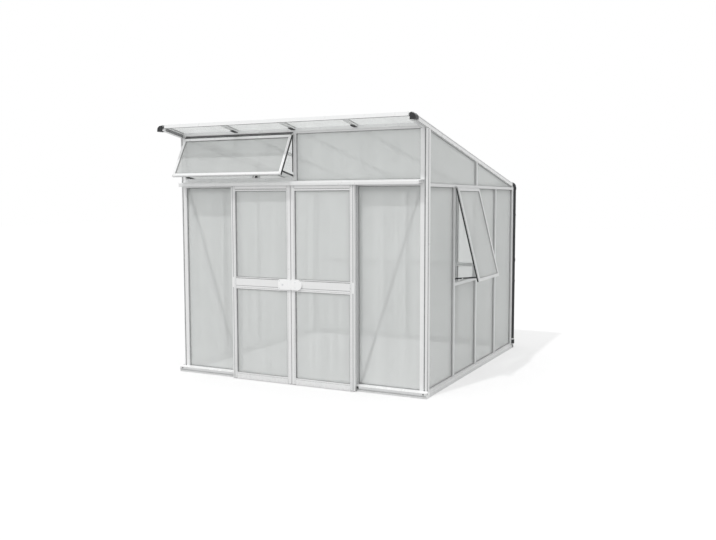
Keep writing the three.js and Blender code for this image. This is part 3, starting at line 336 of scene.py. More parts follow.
# Plastics, steel and brushes.
black = plastic_material("black_plastic", (0.018, 0.019, 0.021), 0.45)
rubber = plastic_material("grey_rubber", (0.25, 0.252, 0.255), 0.6, 900)
dark_rubber = plastic_material("dark_rubber", (0.05, 0.051, 0.053), 0.6, 900)
zinc = steel_material("zinc_plated", (0.68, 0.7, 0.71), 0.34)
bristle = brush_material("brush_pile", (0.5, 0.5, 0.505), (0.8, 0.803, 0.802))

SLOTS = {"silver_profile": silver, "white_profile": white, "black_plastic": black, "zinc": zinc}

# Nodes given a lighter or darker copy of their slot's coating. The lighter copies are partly painted
# light: they lift parts that fall in shade, such as the front top plate under the open vent and the
# roof's front rail.
TONE_OVERRIDES = (
    (white, ("roof_frame", "vent_sash")),
    (bright, ("door_track", "front_top_plate", "front_left_post", "front_right_post")),
    (bright, ("left_roof_edge", "right_roof_edge", "left_door_frame", "right_door_frame")),
    (gloss, ("lock_case", "lock_keeper")),
    (mill, ("left_brace", "right_brace")),
    (dark_bar, ("vent_stay_left", "vent_stay_right", "window_stay")),
)
TONES = {name: material for material, names in TONE_OVERRIDES for name in names}
SIDEWAYS_PANES = ("left_pane", "right_pane", "left_gable", "right_gable", "window")


def dress_nodes():
    for name, node in nodes.items():
        for slot in node.material_slots:
            slot.material = node_material(name, slot.material.name)


def node_material(name, slot):
    if slot.startswith("twin_wall"):
        if name.startswith("roof"):
            return roof_sheet
        if name == "vent_pane":
            return vent_sheet
        return sheet_y if name.startswith(SIDEWAYS_PANES) else sheet_x
    return TONES.get(name, SLOTS[slot.split(".")[0]])


def piece(name, material, mesh, body="house"):
    """Makes an object of a mesh, in its material's slot, on the body that it moves with."""
    data = bpy.data.meshes.new(name)
    mesh.normal_update()
    mesh.to_mesh(data)
    mesh.free()
    made = bpy.data.objects.new(name, data)
    bpy.context.scene.collection.objects.link(made)
    data.materials.append(material)
    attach(made, body)


def add_loops(mesh, loops, closed=True):
    """Joins rings of points into a tube; closed tubes meet their own start, open ones get end faces."""
    rings = [[mesh.verts.new(point) for point in loop] for loop in loops]
    count = len(rings[0])
    pairs = zip(rings, rings[1:] + rings[:1]) if closed else zip(rings, rings[1:])
    for first, second in pairs:
        for i in range(count):
            j = (i + 1) % count
            mesh.faces.new((first[i], first[j], second[j], second[i]))
    if not closed:
        mesh.faces.new(rings[0][::-1])
        mesh.faces.new(rings[-1])


def add_ring(mesh, corners, outward, section):
    """A strip that follows a flat outline with mitred corners; section is (inset, rise) pairs."""
    corners = [Vector(corner) for corner in corners]
    outward = Vector(outward).normalized()
    middle = sum(corners, Vector()) / len(corners)
    loops = []
    for i, corner in enumerate(corners):
        before = (corner - corners[i - 1]).normalized()
        after = (corners[(i + 1) % len(corners)] - corner).normalized()
        inward = []
        for edge in (before, after):
            side = outward.cross(edge)
            inward.append(side if side.dot(middle - corner) > 0 else -side)
        mitre = (inward[0] + inward[1]) / (1 + inward[0].dot(inward[1]))
        loops.append([corner + mitre * inset + outward * rise for inset, rise in section])
    add_loops(mesh, loops)


def add_bar(mesh, start, end, across, up, section):
    """A straight bar from start to end; section is (across, up) pairs."""
    across, up = Vector(across), Vector(up)
    loops = [[Vector(base) + across * u + up * v for u, v in section] for base in (start, end)]
    add_loops(mesh, loops, closed=False)


def add_level(mesh, first, last, section, height=0):
    """A bar along X in the front wall; section is (Y, Z) pairs from the given height."""
    add_bar(mesh, (first, 0, height), (last, 0, height), Y_AXIS, Z_AXIS, section)


def add_upright(mesh, x, y, bottom, top, section):
    """An upright bar; section is (X, Y) pairs from its place."""
    add_bar(mesh, (x, y, bottom), (x, y, top), X_AXIS, Y_AXIS, section)


def add_turned(mesh, base, axis, profile, sides=20, crossed=0):
    """A turned form on an axis; profile is (radius, height) pairs, the last few pressed to a cross."""
    axis = Vector(axis).normalized()
    side = axis.orthogonal().normalized()
    other = axis.cross(side)
    loops = []
    for index, (radius, height) in enumerate(profile):
        loop = []
        for i in range(sides):
            angle = 2 * math.pi * i / sides
            pressed = index >= len(profile) - crossed and abs(math.cos(2 * angle)) < 0.75
            reach = radius * 0.34 if pressed else radius
            point = Vector(base) + side * reach * math.cos(angle)
            loop.append(point + other * reach * math.sin(angle) + axis * height)
        loops.append(loop)
    add_loops(mesh, loops, closed=False)


# A pan head on its washer, with a cross recess, in shares of the head's radius.
SCREW_SHAPE = (
    (1.5, 0), (1.5, 0.22), (1.38, 0.3), (1, 0.3), (1, 0.55), (0.86, 0.82), (0.62, 0.95),
    (0.56, 0.95), (0.4, 0.45),
)


def add_screw(mesh, base, axis, size):
    profile = [(size * radius, size * height) for radius, height in SCREW_SHAPE]
    add_turned(mesh, base, axis, profile, crossed=2)


def rectangle(first, last, bottom, top):
    return [(first, bottom), (last, bottom), (last, top), (first, top)]


def mirrored(section, side):
    """A section for the right-hand side, turned over for the left when side is -1."""
    return [(side * u, v) for u, v in section]


def taper(wide, narrow, near, far):
    """A flat strip's section, from half its width at the near level to half of it at the far one."""
    return [(-wide, near), (wide, near), (narrow, far), (-narrow, far)]


def hairline(rise):
    return taper(LINE_HALF, LINE_HALF, 0, rise)


OUTWARD = {"front": -Y_AXIS, "rear": Y_AXIS, "right": X_AXIS, "left": -X_AXIS}


def wall_point(plane, along, depth, height):
    """A place on a wall: along it, inward from its outer plane, and up."""
    return {
        "front": Vector((along, depth, height)),
        "rear": Vector((along, DEPTH - depth, height)),
        "right": Vector((HALF_WIDTH - depth, along, height)),
        "left": Vector((depth - HALF_WIDTH, along, height)),
    }[plane]


def roof_height(y, level):
    return ROOF_TOP + level / math.cos(SLOPE) - math.tan(SLOPE) * y


def roof_point(x, run, level):
    """A place on the roof: across, down the slope from the front wall, and square to it."""
    turn = Matrix.Translation((0, 0, ROOF_TOP)) @ Matrix.Rotation(-SLOPE, 4, "X")
    return turn @ Vector((x, run, level))


def add_down_roof(mesh, x, runs, level, section):
    """A bar down the slope between two runs; section is pairs across and square to the roof."""
    first, last = (roof_point(x, run, level) for run in runs)
    add_bar(mesh, first, last, X_AXIS, ROOF_UP, section)


def side_bar(index):
    return MARGIN + index * SIDE_BAY


def daylights():
    """Every fixed pane's visible outline, by its wall, as places along the wall and heights."""
    inner = HALF_WIDTH - POST
    jamb = BAY + HALF_BAR
    rows = [
        ("front", rectangle(jamb, inner, SILL_TOP, HEADER_BOTTOM)),
        ("front", rectangle(-inner, -jamb, SILL_TOP, HEADER_BOTTOM)),
        ("front", rectangle(HALF_BAR, inner, HEADER_TOP, PLATE_BOTTOM)),
    ]
    for index in range(4):
        first = -inner if index == 0 else (index - 2) * BAY + HALF_BAR
        last = inner if index == 3 else (index - 1) * BAY - HALF_BAR
        rows.append(("rear", rectangle(first, last, SILL_TOP, REAR_PLATE_BOTTOM)))
    for plane in ("left", "right"):
        for index in range(4):
            first = POST if index == 0 else side_bar(index) + HALF_BAR
            last = DEPTH - POST if index == 3 else side_bar(index + 1) - HALF_BAR
            under_window = plane == "right" and index == 1
            top = WINDOW_RAIL_BOTTOM if under_window else EAVE_BOTTOM
            rows.append((plane, rectangle(first, last, SILL_TOP, top)))
        gables = ((POST, side_bar(2) - HALF_BAR), (side_bar(2) + HALF_BAR, DEPTH - POST))
        for first, last in gables:
            tops = [(y, roof_height(y, ROOF_EDGE_DROP)) for y in (last, first)]
            rows.append((plane, [(first, EAVE_TOP), (last, EAVE_TOP)] + tops))
    return rows


# A glazing seal's foot and rounded lip, as inset and rise, on the sheet's outer and inner face.
SEAL = [(0, 0.0001), (0.0042, 0.0001), (0.0042, 0.001), (0.0026, 0.003), (0.0008, 0.0038), (0, 0.0036)]
SEAL_BACK = [(inset, -PANE_THICKNESS - rise) for inset, rise in SEAL]


def add_seals(mesh, corners, outward):
    for section in (SEAL, SEAL_BACK):
        add_ring(mesh, corners, outward, section)


def wall_seals():
    mesh = bmesh.new()
    for plane, outline in daylights():
        corners = [wall_point(plane, along, PANE_FACE, height) for along, height in outline]
        add_seals(mesh, corners, OUTWARD[plane])
    piece("wall_glazing_seals", rubber, mesh)


def door_seals():
    for name, side in DOORS:
        mesh = bmesh.new()
        first, last = sorted(side * edge for edge in STILE_EDGES)
        for bottom, top in DOOR_LEVELS:
            outline = rectangle(first, last, bottom, top)
            add_seals(mesh, [(x, DOOR_PANE_FACE, z) for x, z in outline], -Y_AXIS)
        piece(f"{name}_glazing_seals", rubber, mesh, name)


def sash_wall(spec):
    """The turn from the front wall's axes to those of the sash's wall."""
    if spec["wall"] == "front":
        return Matrix()
    return Matrix.Translation((HALF_WIDTH, 0, 0)) @ Matrix.Rotation(math.pi / 2, 4, "Z")


def sash_axes(spec):
    """A sash's own axes where it stands open, in the shared frame."""
    hinge = Matrix.Translation((0, -HINGE_OUT, spec["height"]))
    return sash_wall(spec) @ hinge @ Matrix.Rotation(-spec["open"], 4, "X")


# On each corner of a sash: the ends of its mitre line, and two screws, one on each member.
MITRE = (0.0045, 0.0238)
CORNER_SCREWS = ((0.013, 0.042), (0.042, 0.013))


def sash_details(name, spec):
    """Glazing seals, mitre lines, corner screws and weather seal of the vent or the window."""
    axes = sash_axes(spec)
    outward = axes.to_3x3() @ -Y_AXIS
    start, end, bottom, top = spec["start"], spec["end"], -spec["length"], -SASH_DROP
    mesh = bmesh.new()
    inner = rectangle(start + SASH_MEMBER, end - SASH_MEMBER, bottom + SASH_MEMBER, top - SASH_MEMBER)
    add_seals(mesh, [axes @ Vector((x, SASH_PANE_FACE, z)) for x, z in inner], outward)
    piece(f"{name}_glazing_seals", rubber, mesh, name)
    lines = bmesh.new()
    screws = bmesh.new()
    outer = rectangle(start, end, bottom, top)
    for x, z in outer:
        lean_x = math.copysign(1, (start + end) / 2 - x)
        lean_z = math.copysign(1, (bottom + top) / 2 - z)
        ends = [Vector((x + lean_x * step, SASH_OUTER, z + lean_z * step)) for step in MITRE]
        first, last = (axes @ place for place in ends)
        across = (last - first).cross(outward).normalized()
        add_bar(lines, first, last, across, outward, hairline(FILM))
        for along, down in CORNER_SCREWS:
            base = Vector((x + lean_x * along, SASH_INNER, z + lean_z * down))
            add_screw(screws, axes @ base, -outward, SASH_SCREW)
    piece(f"{name}_mitre_lines", dark_rubber, lines, name)
    piece(f"{name}_corner_screws", zinc, screws, name)
    sash_weather_seal(name, spec, axes, outer)


# The lip of a sash's weather seal, as inset and rise.
WEATHER_LIP = [
    (-0.0008, 0.0001), (0.0075, 0.0001), (0.0075, 0.0009), (0.004, 0.0021), (-0.0008, 0.0021),
]


def sash_weather_seal(name, spec, axes, outer):
    """The black strip of a sash's rear edge: a lip on its inner face and a leg on its side."""
    mesh = bmesh.new()
    inward = axes.to_3x3() @ Y_AXIS
    aside = axes.to_3x3() @ X_AXIS
    corners = [axes @ Vector((x, SASH_INNER, z)) for x, z in outer]
    add_ring(mesh, corners, inward, WEATHER_LIP)
    reach = spec["seal_leg"]
    leg = rectangle(-0.0006, -0.0001, -reach, 0.0004)
    if spec is WINDOW:
        add_ring(mesh, corners, inward, leg)
    else:
        # The vent's leg runs down its two ends only, so its bottom rail stays white from below.
        add_bar(mesh, corners[1], corners[2], -aside, inward, leg)
        add_bar(mesh, corners[0], corners[3], aside, inward, leg)
    piece(f"{name}_weather_seal", black, mesh, name)


# The doors' meeting brush, from the stile's edge, and the jambs' long one, from their front face.
MEETING_DEPTH = -0.066
MEETING_HOLDER = [(0, -0.003), (0, 0.003), (0.0007, 0.003), (0.0007, -0.003)]
MEETING_PILE = [(0, -0.0016), (0, 0.0016), (0.0027, 0.0009), (0.0027, -0.0009)]
JAMB_BRUSH = BAY + 0.004
JAMB_HOLDER = taper(0.004, 0.004, 0, -0.0022)
JAMB_PILE = taper(0.0022, 0.0016, -0.0022, -0.049)


def door_brushes():
    for name, side in DOORS:
        mesh = bmesh.new()
        x = side * DOOR_GAP
        whole = (STILE_SPANS[0][0], STILE_SPANS[1][1])
        add_upright(mesh, x, MEETING_DEPTH, *whole, mirrored(MEETING_HOLDER, -side))
        for span in STILE_SPANS:
            add_upright(mesh, x, MEETING_DEPTH, *span, mirrored(MEETING_PILE, -side))
        piece(f"{name}_meeting_brush", bristle, mesh, name)


def jamb_brushes():
    mesh = bmesh.new()
    for side in (-1, 1):
        for section in (JAMB_HOLDER, JAMB_PILE):
            x = side * JAMB_BRUSH
            add_upright(mesh, x, 0, SILL_TOP + 0.002, HEADER_BOTTOM - 0.002, section)
    piece("jamb_brushes", bristle, mesh)


# Screws in the backs of a door's stiles: place and heights. The lock takes the meeting stile's middle.
STILE_SCREWS = (
    (0.0185, (0.026, 0.048, 1.781, 1.801)),
    (0.626, (0.026, 0.048, 0.89, 0.936, 1.781, 1.801)),
)
PLUG_THICKNESS = 0.0025


def door_fittings():
    """Screws, foot plugs and joint lines of each door's frame."""
    for name, side in DOORS:
        screws = bmesh.new()
        for x, heights in STILE_SCREWS:
            for z in heights:
                add_screw(screws, (side * x, DOOR_BACK, z), Y_AXIS, DOOR_SCREW)
        piece(f"{name}_screws", zinc, screws, name)
        plugs = bmesh.new()
        for inner, outer in STILES:
            section = mirrored(rectangle(inner + 0.001, outer - 0.001, 0.001, 0.027), side)
            add_upright(plugs, 0, DOOR_FACE, DOOR_BOTTOM, DOOR_BOTTOM - PLUG_THICKNESS, section)
        piece(f"{name}_stile_plugs", black, plugs, name)
        joints = bmesh.new()
        for x in STILE_EDGES:
            for bottom, top in RAIL_FACES:
                add_upright(joints, side * x, DOOR_FACE, bottom, top, hairline(-FILM))
        piece(f"{name}_joint_lines", dark_rubber, joints, name)


# The lock's cover plate as an outline on its face, the rose's turned profile, and the screws.
COVER = [
    (-0.0165, 0.873), (0.0105, 0.873), (0.0125, 0.8755), (0.0125, 0.9565), (0.0105, 0.959),
    (-0.0165, 0.959),
]
ROSE = [(0.0105, 0), (0.0105, 0.0008), (0.0098, 0.0014), (0.0062, 0.0014), (0.0055, 0.0004)]
ROSE_PLACE = (-0.08, LOCK_FACE + 0.0012, 0.915)
LOCK_SCREWS = (
    ("lock_case_screws", "left_door", ((-0.113, 0.883), (-0.113, 0.949))),
    ("lock_keeper_screws", "right_door", ((0.052, 0.892), (0.052, 0.94))),
)


def lock_fittings():
    mesh = bmesh.new()
    back, front = LOCK_FACE - 0.0002, LOCK_FACE - 0.0009
    add_bar(mesh, (0, back, 0), (0, front, 0), X_AXIS, Z_AXIS, COVER)
    piece("lock_cover_plate", gloss, mesh, "left_door")
    mesh = bmesh.new()
    add_turned(mesh, ROSE_PLACE, -Y_AXIS, ROSE, 28)
    piece("lock_rose", zinc, mesh, "left_door")
    for name, body, places in LOCK_SCREWS:
        mesh = bmesh.new()
        for x, z in places:
            add_screw(mesh, (x, LOCK_FACE, z), -Y_AXIS, LOCK_SCREW)
        piece(name, zinc, mesh, body)


def groove_bar(mesh, corner, along_x, level, bottom, top):
    """Fills a groove of a corner post, from a level under its face to the groove's floor."""
    x_side, y, y_side = corner
    outline = rectangle(*GROOVE, level, GROOVE_FLOOR)
    if along_x:
        section = [(-x_side * u, y_side * v) for u, v in outline]
    else:
        section = [(-x_side * v, y_side * u) for u, v in outline]
    add_upright(mesh, x_side * HALF_WIDTH, y, bottom, top, section)


# Groove fillings: the foot plugs' level and heights, and each dark fill, painted shade of the groove,
# with its way, level and material.
FOOT_LEVEL = 0.0005
FOOT_HEIGHTS = (0.0405, 0.062)
POST_GROOVE_SHADES = (
    ("post_front_groove_shades", True, 0.006, rubber),
    ("post_side_groove_shades", False, 0.0012, dark_rubber),
)
POST_GROOVE_SHADE_BOTTOM = 0.0622


def post_fillings():
    """Plugs at the feet of the corner posts' grooves, and dark fills above them up to the roof edge,
    painted shade of the grooves.
    """
    mesh = bmesh.new()
    for corner in CORNERS:
        for along_x in (True, False):
            groove_bar(mesh, corner, along_x, FOOT_LEVEL, *FOOT_HEIGHTS)
    piece("post_groove_plugs", black, mesh)
    for name, along_x, level, material in POST_GROOVE_SHADES:
        mesh = bmesh.new()
        for corner in CORNERS:
            top = roof_height(corner[1] + corner[2] * 0.028, ROOF_EDGE_DROP) - 0.004
            groove_bar(mesh, corner, along_x, level, POST_GROOVE_SHADE_BOTTOM, top)
        piece(name, material, mesh)


# Sections on a door's face, as pairs across the strip and back from the face.
# DOOR_GROOVE_SHADE: black fill in the frame's sunk lines, painted shade of the grooves.
DOOR_GROOVE_SHADE = taper(0.0007, 0.0007, 0.0009, 0.0011)
# STILE_SHADE_STRIP: a darker strip down the outer stile's face, painted shade.
STILE_SHADE_STRIP = taper(0.007, 0.0062, -0.0001, -0.0004)
BEAD = taper(0.002, 0.0014, -0.0001, -0.0007)
# HEAD_HIGHLIGHT_STRIP: a gloss white strip on the top rail, painted highlight that lifts the rail where
# the hood's shadow falls.
HEAD_HIGHLIGHT_STRIP = [(-0.014, -0.0001), (0.012, -0.0001), (0.0115, -0.0004), (-0.0135, -0.0004)]
# Dark tape on the sheet beside its seal, painted shade of the stile's recess, as pairs from the stile's
# edge and back from the sheet's face.
SHADE_TAPE = [(0.0044, -0.0001), (0.0112, -0.0001), (0.011, -0.0003), (0.0044, -0.0003)]
SHADE_TAPE_END = 0.0046
# Places of the painted shade in the frame's sunk lines, from a stile's edge and from a pane, and of the
# strips' middles.
STILE_GROOVE_SHADES = (STILE_EDGES[0] - 0.00975, STILE_EDGES[1] + 0.00975)
RAIL_GROOVE_SHADE = 0.01175
STILE_SHADE_PLACE = DOOR_OUTER - 0.017
BEAD_HEIGHTS = (0.887, 0.9585, 1.7802)
HEAD_HIGHLIGHT_HEIGHT = 1.8025


def door_faces():
    """Painted shade in the frame's sunk lines and down the outer stile, beads, a painted highlight on the
    top rail, and tape along the sheets' edges as painted shade of the stiles' recesses.
    """
    for name, side in DOORS:
        inside = (side * (STILE_EDGES[0] + 0.001), side * (STILE_EDGES[1] - 0.001))

        def rail_strip(mesh, z, section):
            first, last = ((x, DOOR_FACE, z) for x in inside)
            add_bar(mesh, first, last, Z_AXIS, Y_AXIS, section)

        # Painted shade in the frame's sunk lines.
        mesh = bmesh.new()
        for x in STILE_GROOVE_SHADES:
            add_upright(mesh, side * x, DOOR_FACE, DOOR_BOTTOM + 0.001, DOOR_TOP - 0.001, DOOR_GROOVE_SHADE)
        for bottom, top in DOOR_LEVELS:
            rail_strip(mesh, bottom - RAIL_GROOVE_SHADE, DOOR_GROOVE_SHADE)
            rail_strip(mesh, top + RAIL_GROOVE_SHADE, DOOR_GROOVE_SHADE)
        piece(f"{name}_face_groove_shades", black, mesh, name)
        # Painted shade: a darker strip down the outer stile.
        mesh = bmesh.new()
        for bottom, top in STILE_SPANS:
            add_upright(mesh, side * STILE_SHADE_PLACE, DOOR_FACE, bottom, top, STILE_SHADE_STRIP)
        piece(f"{name}_stile_shade_strips", painted_stile_shade, mesh, name)
        mesh = bmesh.new()
        for z in BEAD_HEIGHTS:
            rail_strip(mesh, z, BEAD)
        piece(f"{name}_rail_beads", rubber, mesh, name)
        # Painted highlight on the top rail, under the hood's shadow.
        mesh = bmesh.new()
        rail_strip(mesh, HEAD_HIGHLIGHT_HEIGHT, HEAD_HIGHLIGHT_STRIP)
        piece(f"{name}_head_highlight_strip", gloss, mesh, name)
        # Painted shade: dark tape beside each stile, where the stile's recess throws its shade on the
        # sheet.
        left, right = sorted(side * edge for edge in STILE_EDGES)
        for kind, x, way, material in (("left_tape", left, 1, rubber), ("right_tape", right, -1, mill)):
            mesh = bmesh.new()
            for bottom, top in DOOR_LEVELS:
                span = (bottom + SHADE_TAPE_END, top - SHADE_TAPE_END)
                add_upright(mesh, x, DOOR_PANE_FACE, *span, mirrored(SHADE_TAPE, way))
            piece(f"{name}_{kind}", material, mesh, name)


# Fittings on the vent's rail, as (Y, Z) outlines above it: saddle blocks, and the catch in its cheeks.
SADDLE_BLOCK = rectangle(0.0265, 0.037, 0.0001, 0.0165)
CATCH_CHEEK = [(0.004, 0.0001), (0.034, 0.0001), (0.034, 0.026), (0.014, 0.026), (0.004, 0.014)]
CATCH = [(0.006, 0.0001), (0.032, 0.0001), (0.032, 0.023), (0.015, 0.023), (0.006, 0.013)]
CATCH_PLACE = -0.44
CATCH_HALF = 0.0108


def vent_rail_fittings():
    """Black blocks beside the vent's saddles, and the catch in the middle of its rail."""
    mesh = bmesh.new()
    blocks = [(place, 0.0061, 0.0086, SADDLE_BLOCK) for _, spec, place, _ in STAYS if spec is VENT]
    blocks.append((CATCH_PLACE, 0.011, 0.0145, CATCH_CHEEK))
    for place, near, far, section in blocks:
        for side in (-1, 1):
            first, last = sorted((place + side * near, place + side * far))
            add_level(mesh, first, last, section, VENT_RAIL_TOP)
    piece("vent_rail_blocks", black, mesh)
    mesh = bmesh.new()
    add_level(mesh, CATCH_PLACE - CATCH_HALF, CATCH_PLACE + CATCH_HALF, CATCH, VENT_RAIL_TOP)
    piece("vent_catch", white, mesh)


# Runs of the roof edges' trims: their overhang in front of the wall, and their outer face.
OVERHANG = (ROOF_START + 0.024, -0.012)
OUTER_FACE = (ROOF_START + 0.06, ROOF_END - 0.002)
# Each bead on a roof edge: place, runs, levels and section, for the right-hand side.
INNER_BEAD = [(0, -0.0014), (-0.0012, -0.0009), (-0.0012, 0.0009), (0, 0.0014)]
OUTER_BEAD = [(0, -0.0011), (0.0007, -0.0008), (0.0007, 0.0008), (0, 0.0011)]
EDGE_BEADS = (
    (ROOF_EDGE - ROOF_EDGE_WIDTH, OVERHANG, (-0.0445, -0.0045), INNER_BEAD),
    (ROOF_EDGE, OUTER_FACE, (-0.0415, -0.0015), OUTER_BEAD),
)
# EDGE_SHADE_LINING: a grey rubber sheet on each roof edge's inner face, painted shade of the inner side.
EDGE_SHADE_LINING = [(0, -0.0428), (-0.0005, -0.0423), (-0.0005, -0.0175), (0, -0.017)]
# EDGE_HIGHLIGHT: an upward-facing facet on each roof edge's outer face. It catches the sun, and its gloss
# white, lighter than the edge's coat, is partly a painted highlight.
EDGE_HIGHLIGHT = [(0, -0.004), (0.007, -0.0035), (0.008, -0.0015), (0.0015, 0.0085), (0, 0.0085)]
EDGE_HIGHLIGHT_LEVEL = -0.034
# A block under a rafter where it meets the wall: its lower edge, the Y of its ends, its thickness.
BLOCK_BOTTOM = 2.3035
BLOCK_ENDS = (-0.0121, -0.08)
BLOCK_THICKNESS = 0.009
BLOCK_HALF = 0.0165
# The bulb seal on the mullion's vent side, and its heights.
BULB = [
    (-0.0001, 0.0005), (-0.006, 0.0005), (-0.011, 0.003), (-0.011, 0.008), (-0.006, 0.011),
    (-0.0001, 0.011),
]
BULB_SPAN = (1.932, 2.262)


def roof_trims():
    """Beads of the roof edges, grey linings on their inner faces as painted shade, gloss facets on their
    outer faces that are partly a painted highlight, the blocks under the rafters, the mullion's seal.
    """
    mesh = bmesh.new()
    for side in (-1, 1):
        for place, runs, levels, section in EDGE_BEADS:
            for level in levels:
                add_down_roof(mesh, side * place, runs, level, mirrored(section, side))
    piece("roof_edge_beads", dark_rubber, mesh)
    # Painted shade on the roof edges' inner faces.
    mesh = bmesh.new()
    for side in (-1, 1):
        inner = side * (ROOF_EDGE - ROOF_EDGE_WIDTH - FILM)
        add_down_roof(mesh, inner, OVERHANG, 0, mirrored(EDGE_SHADE_LINING, side))
    piece("roof_edge_shade_linings", rubber, mesh)
    mesh = bmesh.new()
    tops = [roof_height(y, RAFTER_UNDER - 0.0002) for y in BLOCK_ENDS]
    block = [
        (BLOCK_ENDS[0], BLOCK_BOTTOM),
        (BLOCK_ENDS[0], tops[0]),
        (BLOCK_ENDS[1], tops[1]),
        (BLOCK_ENDS[1], tops[1] - BLOCK_THICKNESS),
        (-0.022, BLOCK_BOTTOM),
    ]
    for x in RAFTERS:
        add_level(mesh, x - BLOCK_HALF, x + BLOCK_HALF, block)
    piece("rafter_end_blocks", dark_rubber, mesh)
    # Partly painted highlight: gloss facets along the roof edges' outer faces.
    mesh = bmesh.new()
    for side in (-1, 1):
        add_down_roof(mesh, side * (ROOF_EDGE + FILM), OUTER_FACE, EDGE_HIGHLIGHT_LEVEL, mirrored(EDGE_HIGHLIGHT, side))
    piece("roof_edge_highlight_drips", gloss, mesh)
    mesh = bmesh.new()
    add_upright(mesh, -HALF_BAR, 0, *BULB_SPAN, BULB)
    piece("mullion_vent_seal", black, mesh)


# Closing strip over the top plate, in two layers, the upper one cut out round the rafters.
STRIP_LOW = [(-0.012, 2.2945), (-0.0003, 2.2945), (-0.0003, 2.3045), (-0.012, 2.3062)]
STRIP_HIGH = [(-0.012, 2.3064), (0.012, 2.3068), (0.012, 2.3168), (-0.012, 2.321)]
STRIP_HALF = 1.2195
RAFTER_HALF = 0.0178
# The vent's head seal: a strip on the plate, and a sleeve round the hinge's cup.
HEAD_LIP = [(-0.0001, 2.2785), (-0.0022, 2.279), (-0.0026, 2.2865), (-0.0001, 2.2875)]
SLEEVE = ((0.0054, range(70, 205, 15)), (0.0064, range(190, 55, -15)))
# The dark line along the front rail's face, painted shade of the rail's lower edge, as run and level from
# its front.
RAIL_SHADE_LINE = [(0, -0.0255), (-0.0009, -0.0258), (-0.0009, -0.0282), (0, -0.0285)]
RAIL_SHADE_LINE_HALF = 1.2315


def front_head():
    """White closing strip under the roof sheets, the vent's dark head seal, and a dark line on the front
    rail, painted shade of its lower edge.
    """
    mesh = bmesh.new()
    add_level(mesh, -STRIP_HALF, STRIP_HALF, STRIP_LOW)
    firsts = [-STRIP_HALF] + [x + RAFTER_HALF for x in RAFTERS]
    lasts = [x - RAFTER_HALF for x in RAFTERS] + [STRIP_HALF]
    for first, last in zip(firsts, lasts):
        add_level(mesh, first, last, STRIP_HIGH)
    piece("front_closing_strip", white, mesh)
    mesh = bmesh.new()
    sleeve = []
    for reach, angles in SLEEVE:
        for angle in angles:
            turn = math.radians(angle)
            out = -HINGE_OUT + reach * math.cos(turn)
            sleeve.append((out, VENT["height"] + reach * math.sin(turn)))
    for section in (HEAD_LIP, sleeve):
        add_level(mesh, VENT["start"], VENT["end"], section)
    piece("vent_head_seal", black, mesh)
    mesh = bmesh.new()
    front = ROOF_START - FILM
    ends = (-RAIL_SHADE_LINE_HALF, RAIL_SHADE_LINE_HALF)
    loops = [[roof_point(x, front + run, level) for run, level in RAIL_SHADE_LINE] for x in ends]
    add_loops(mesh, loops, closed=False)
    piece("roof_rail_shade_line", dark_rubber, mesh)


def stay_strips():
    """Black wear strip along the top edge of each stay."""
    for body, spec, place, _ in STAYS:
        lean = spec["open"]
        down = spec["pin_down"]
        out = HINGE_OUT + down * math.sin(lean) - PIN_IN * math.cos(lean)
        height = spec["height"] - down * math.cos(lean) - PIN_IN * math.sin(lean)
        fall = math.atan2(height - spec["rail_top"] - SADDLE_RISE, out + SADDLE_IN)
        pin = Matrix.Translation((place, -out, height)) @ Matrix.Rotation(-fall, 4, "X")
        axes = sash_wall(spec) @ pin
        end = spec["stay_length"]
        outline = [(0.012, 0.0051), (end - 0.012, 0.0051), (end - 0.014, 0.0098), (0.014, 0.0098)]
        loops = [[axes @ Vector((x, u, v)) for u, v in outline] for x in (-0.0021, 0.0021)]
        mesh = bmesh.new()
        add_loops(mesh, loops, closed=False)
        piece(f"{body}_strip", black, mesh, body)


# Front sill, as (Y, Z) outlines: the cap on its open end and the tread on its slope.
SILL_CAP = [(-0.0458, 0.0002), (-0.0458, 0.0468), (-0.0002, 0.0568), (0.0396, 0.0568), (0.0396, 0.0002)]
SILL_TREAD = [
    (-0.0455, 0.0472), (-0.0008, 0.0569), (-0.0008, 0.0572), (-0.0445, 0.0479), (-0.0455, 0.0475),
]
TREAD_HALF = 1.2995
CAP_ENDS = (1.3001, 1.3012)
# A small eight-sided plug, its places on the sill's front and end, and the stop beside a door's foot.
HALF_PLUG = [(-0.0055, -0.004), (-0.004, -0.0055), (0.004, -0.0055), (0.0055, -0.004)]
SILL_PLUG = HALF_PLUG + [(-u, -v) for u, v in HALF_PLUG]
SILL_PLUG_HEIGHT = 0.0375
FOOT_STOP = [(0.647, 0.0275), (0.663, 0.0275), (0.663, 0.042), (0.6595, 0.0455), (0.647, 0.0455)]


def front_sill_fittings():
    """Caps and plugs at the front sill's ends, its glossy tread, and the stop beside each door's foot."""
    caps = bmesh.new()
    plugs = bmesh.new()
    stops = bmesh.new()
    treads = bmesh.new()
    z = SILL_PLUG_HEIGHT
    for side in (-1, 1):
        add_level(caps, *sorted(side * x for x in CAP_ENDS), SILL_CAP)
        x = side * 1.2705
        add_bar(plugs, (x, -0.0461, z), (x, -0.0472, z), X_AXIS, Z_AXIS, SILL_PLUG)
        ends = ((side * x, -0.031, z) for x in (1.3013, 1.3019))
        add_bar(plugs, *ends, Y_AXIS, Z_AXIS, SILL_PLUG)
        section = mirrored(FOOT_STOP, side)
        add_bar(stops, (0, -0.0461, 0), (0, -0.05, 0), X_AXIS, Z_AXIS, section)
    add_level(treads, -TREAD_HALF, TREAD_HALF, SILL_TREAD)
    piece("front_sill_tread", gloss, treads)
    piece("front_sill_end_caps", white, caps)
    piece("front_sill_plugs", black, plugs)
    piece("door_foot_stops", black, stops)


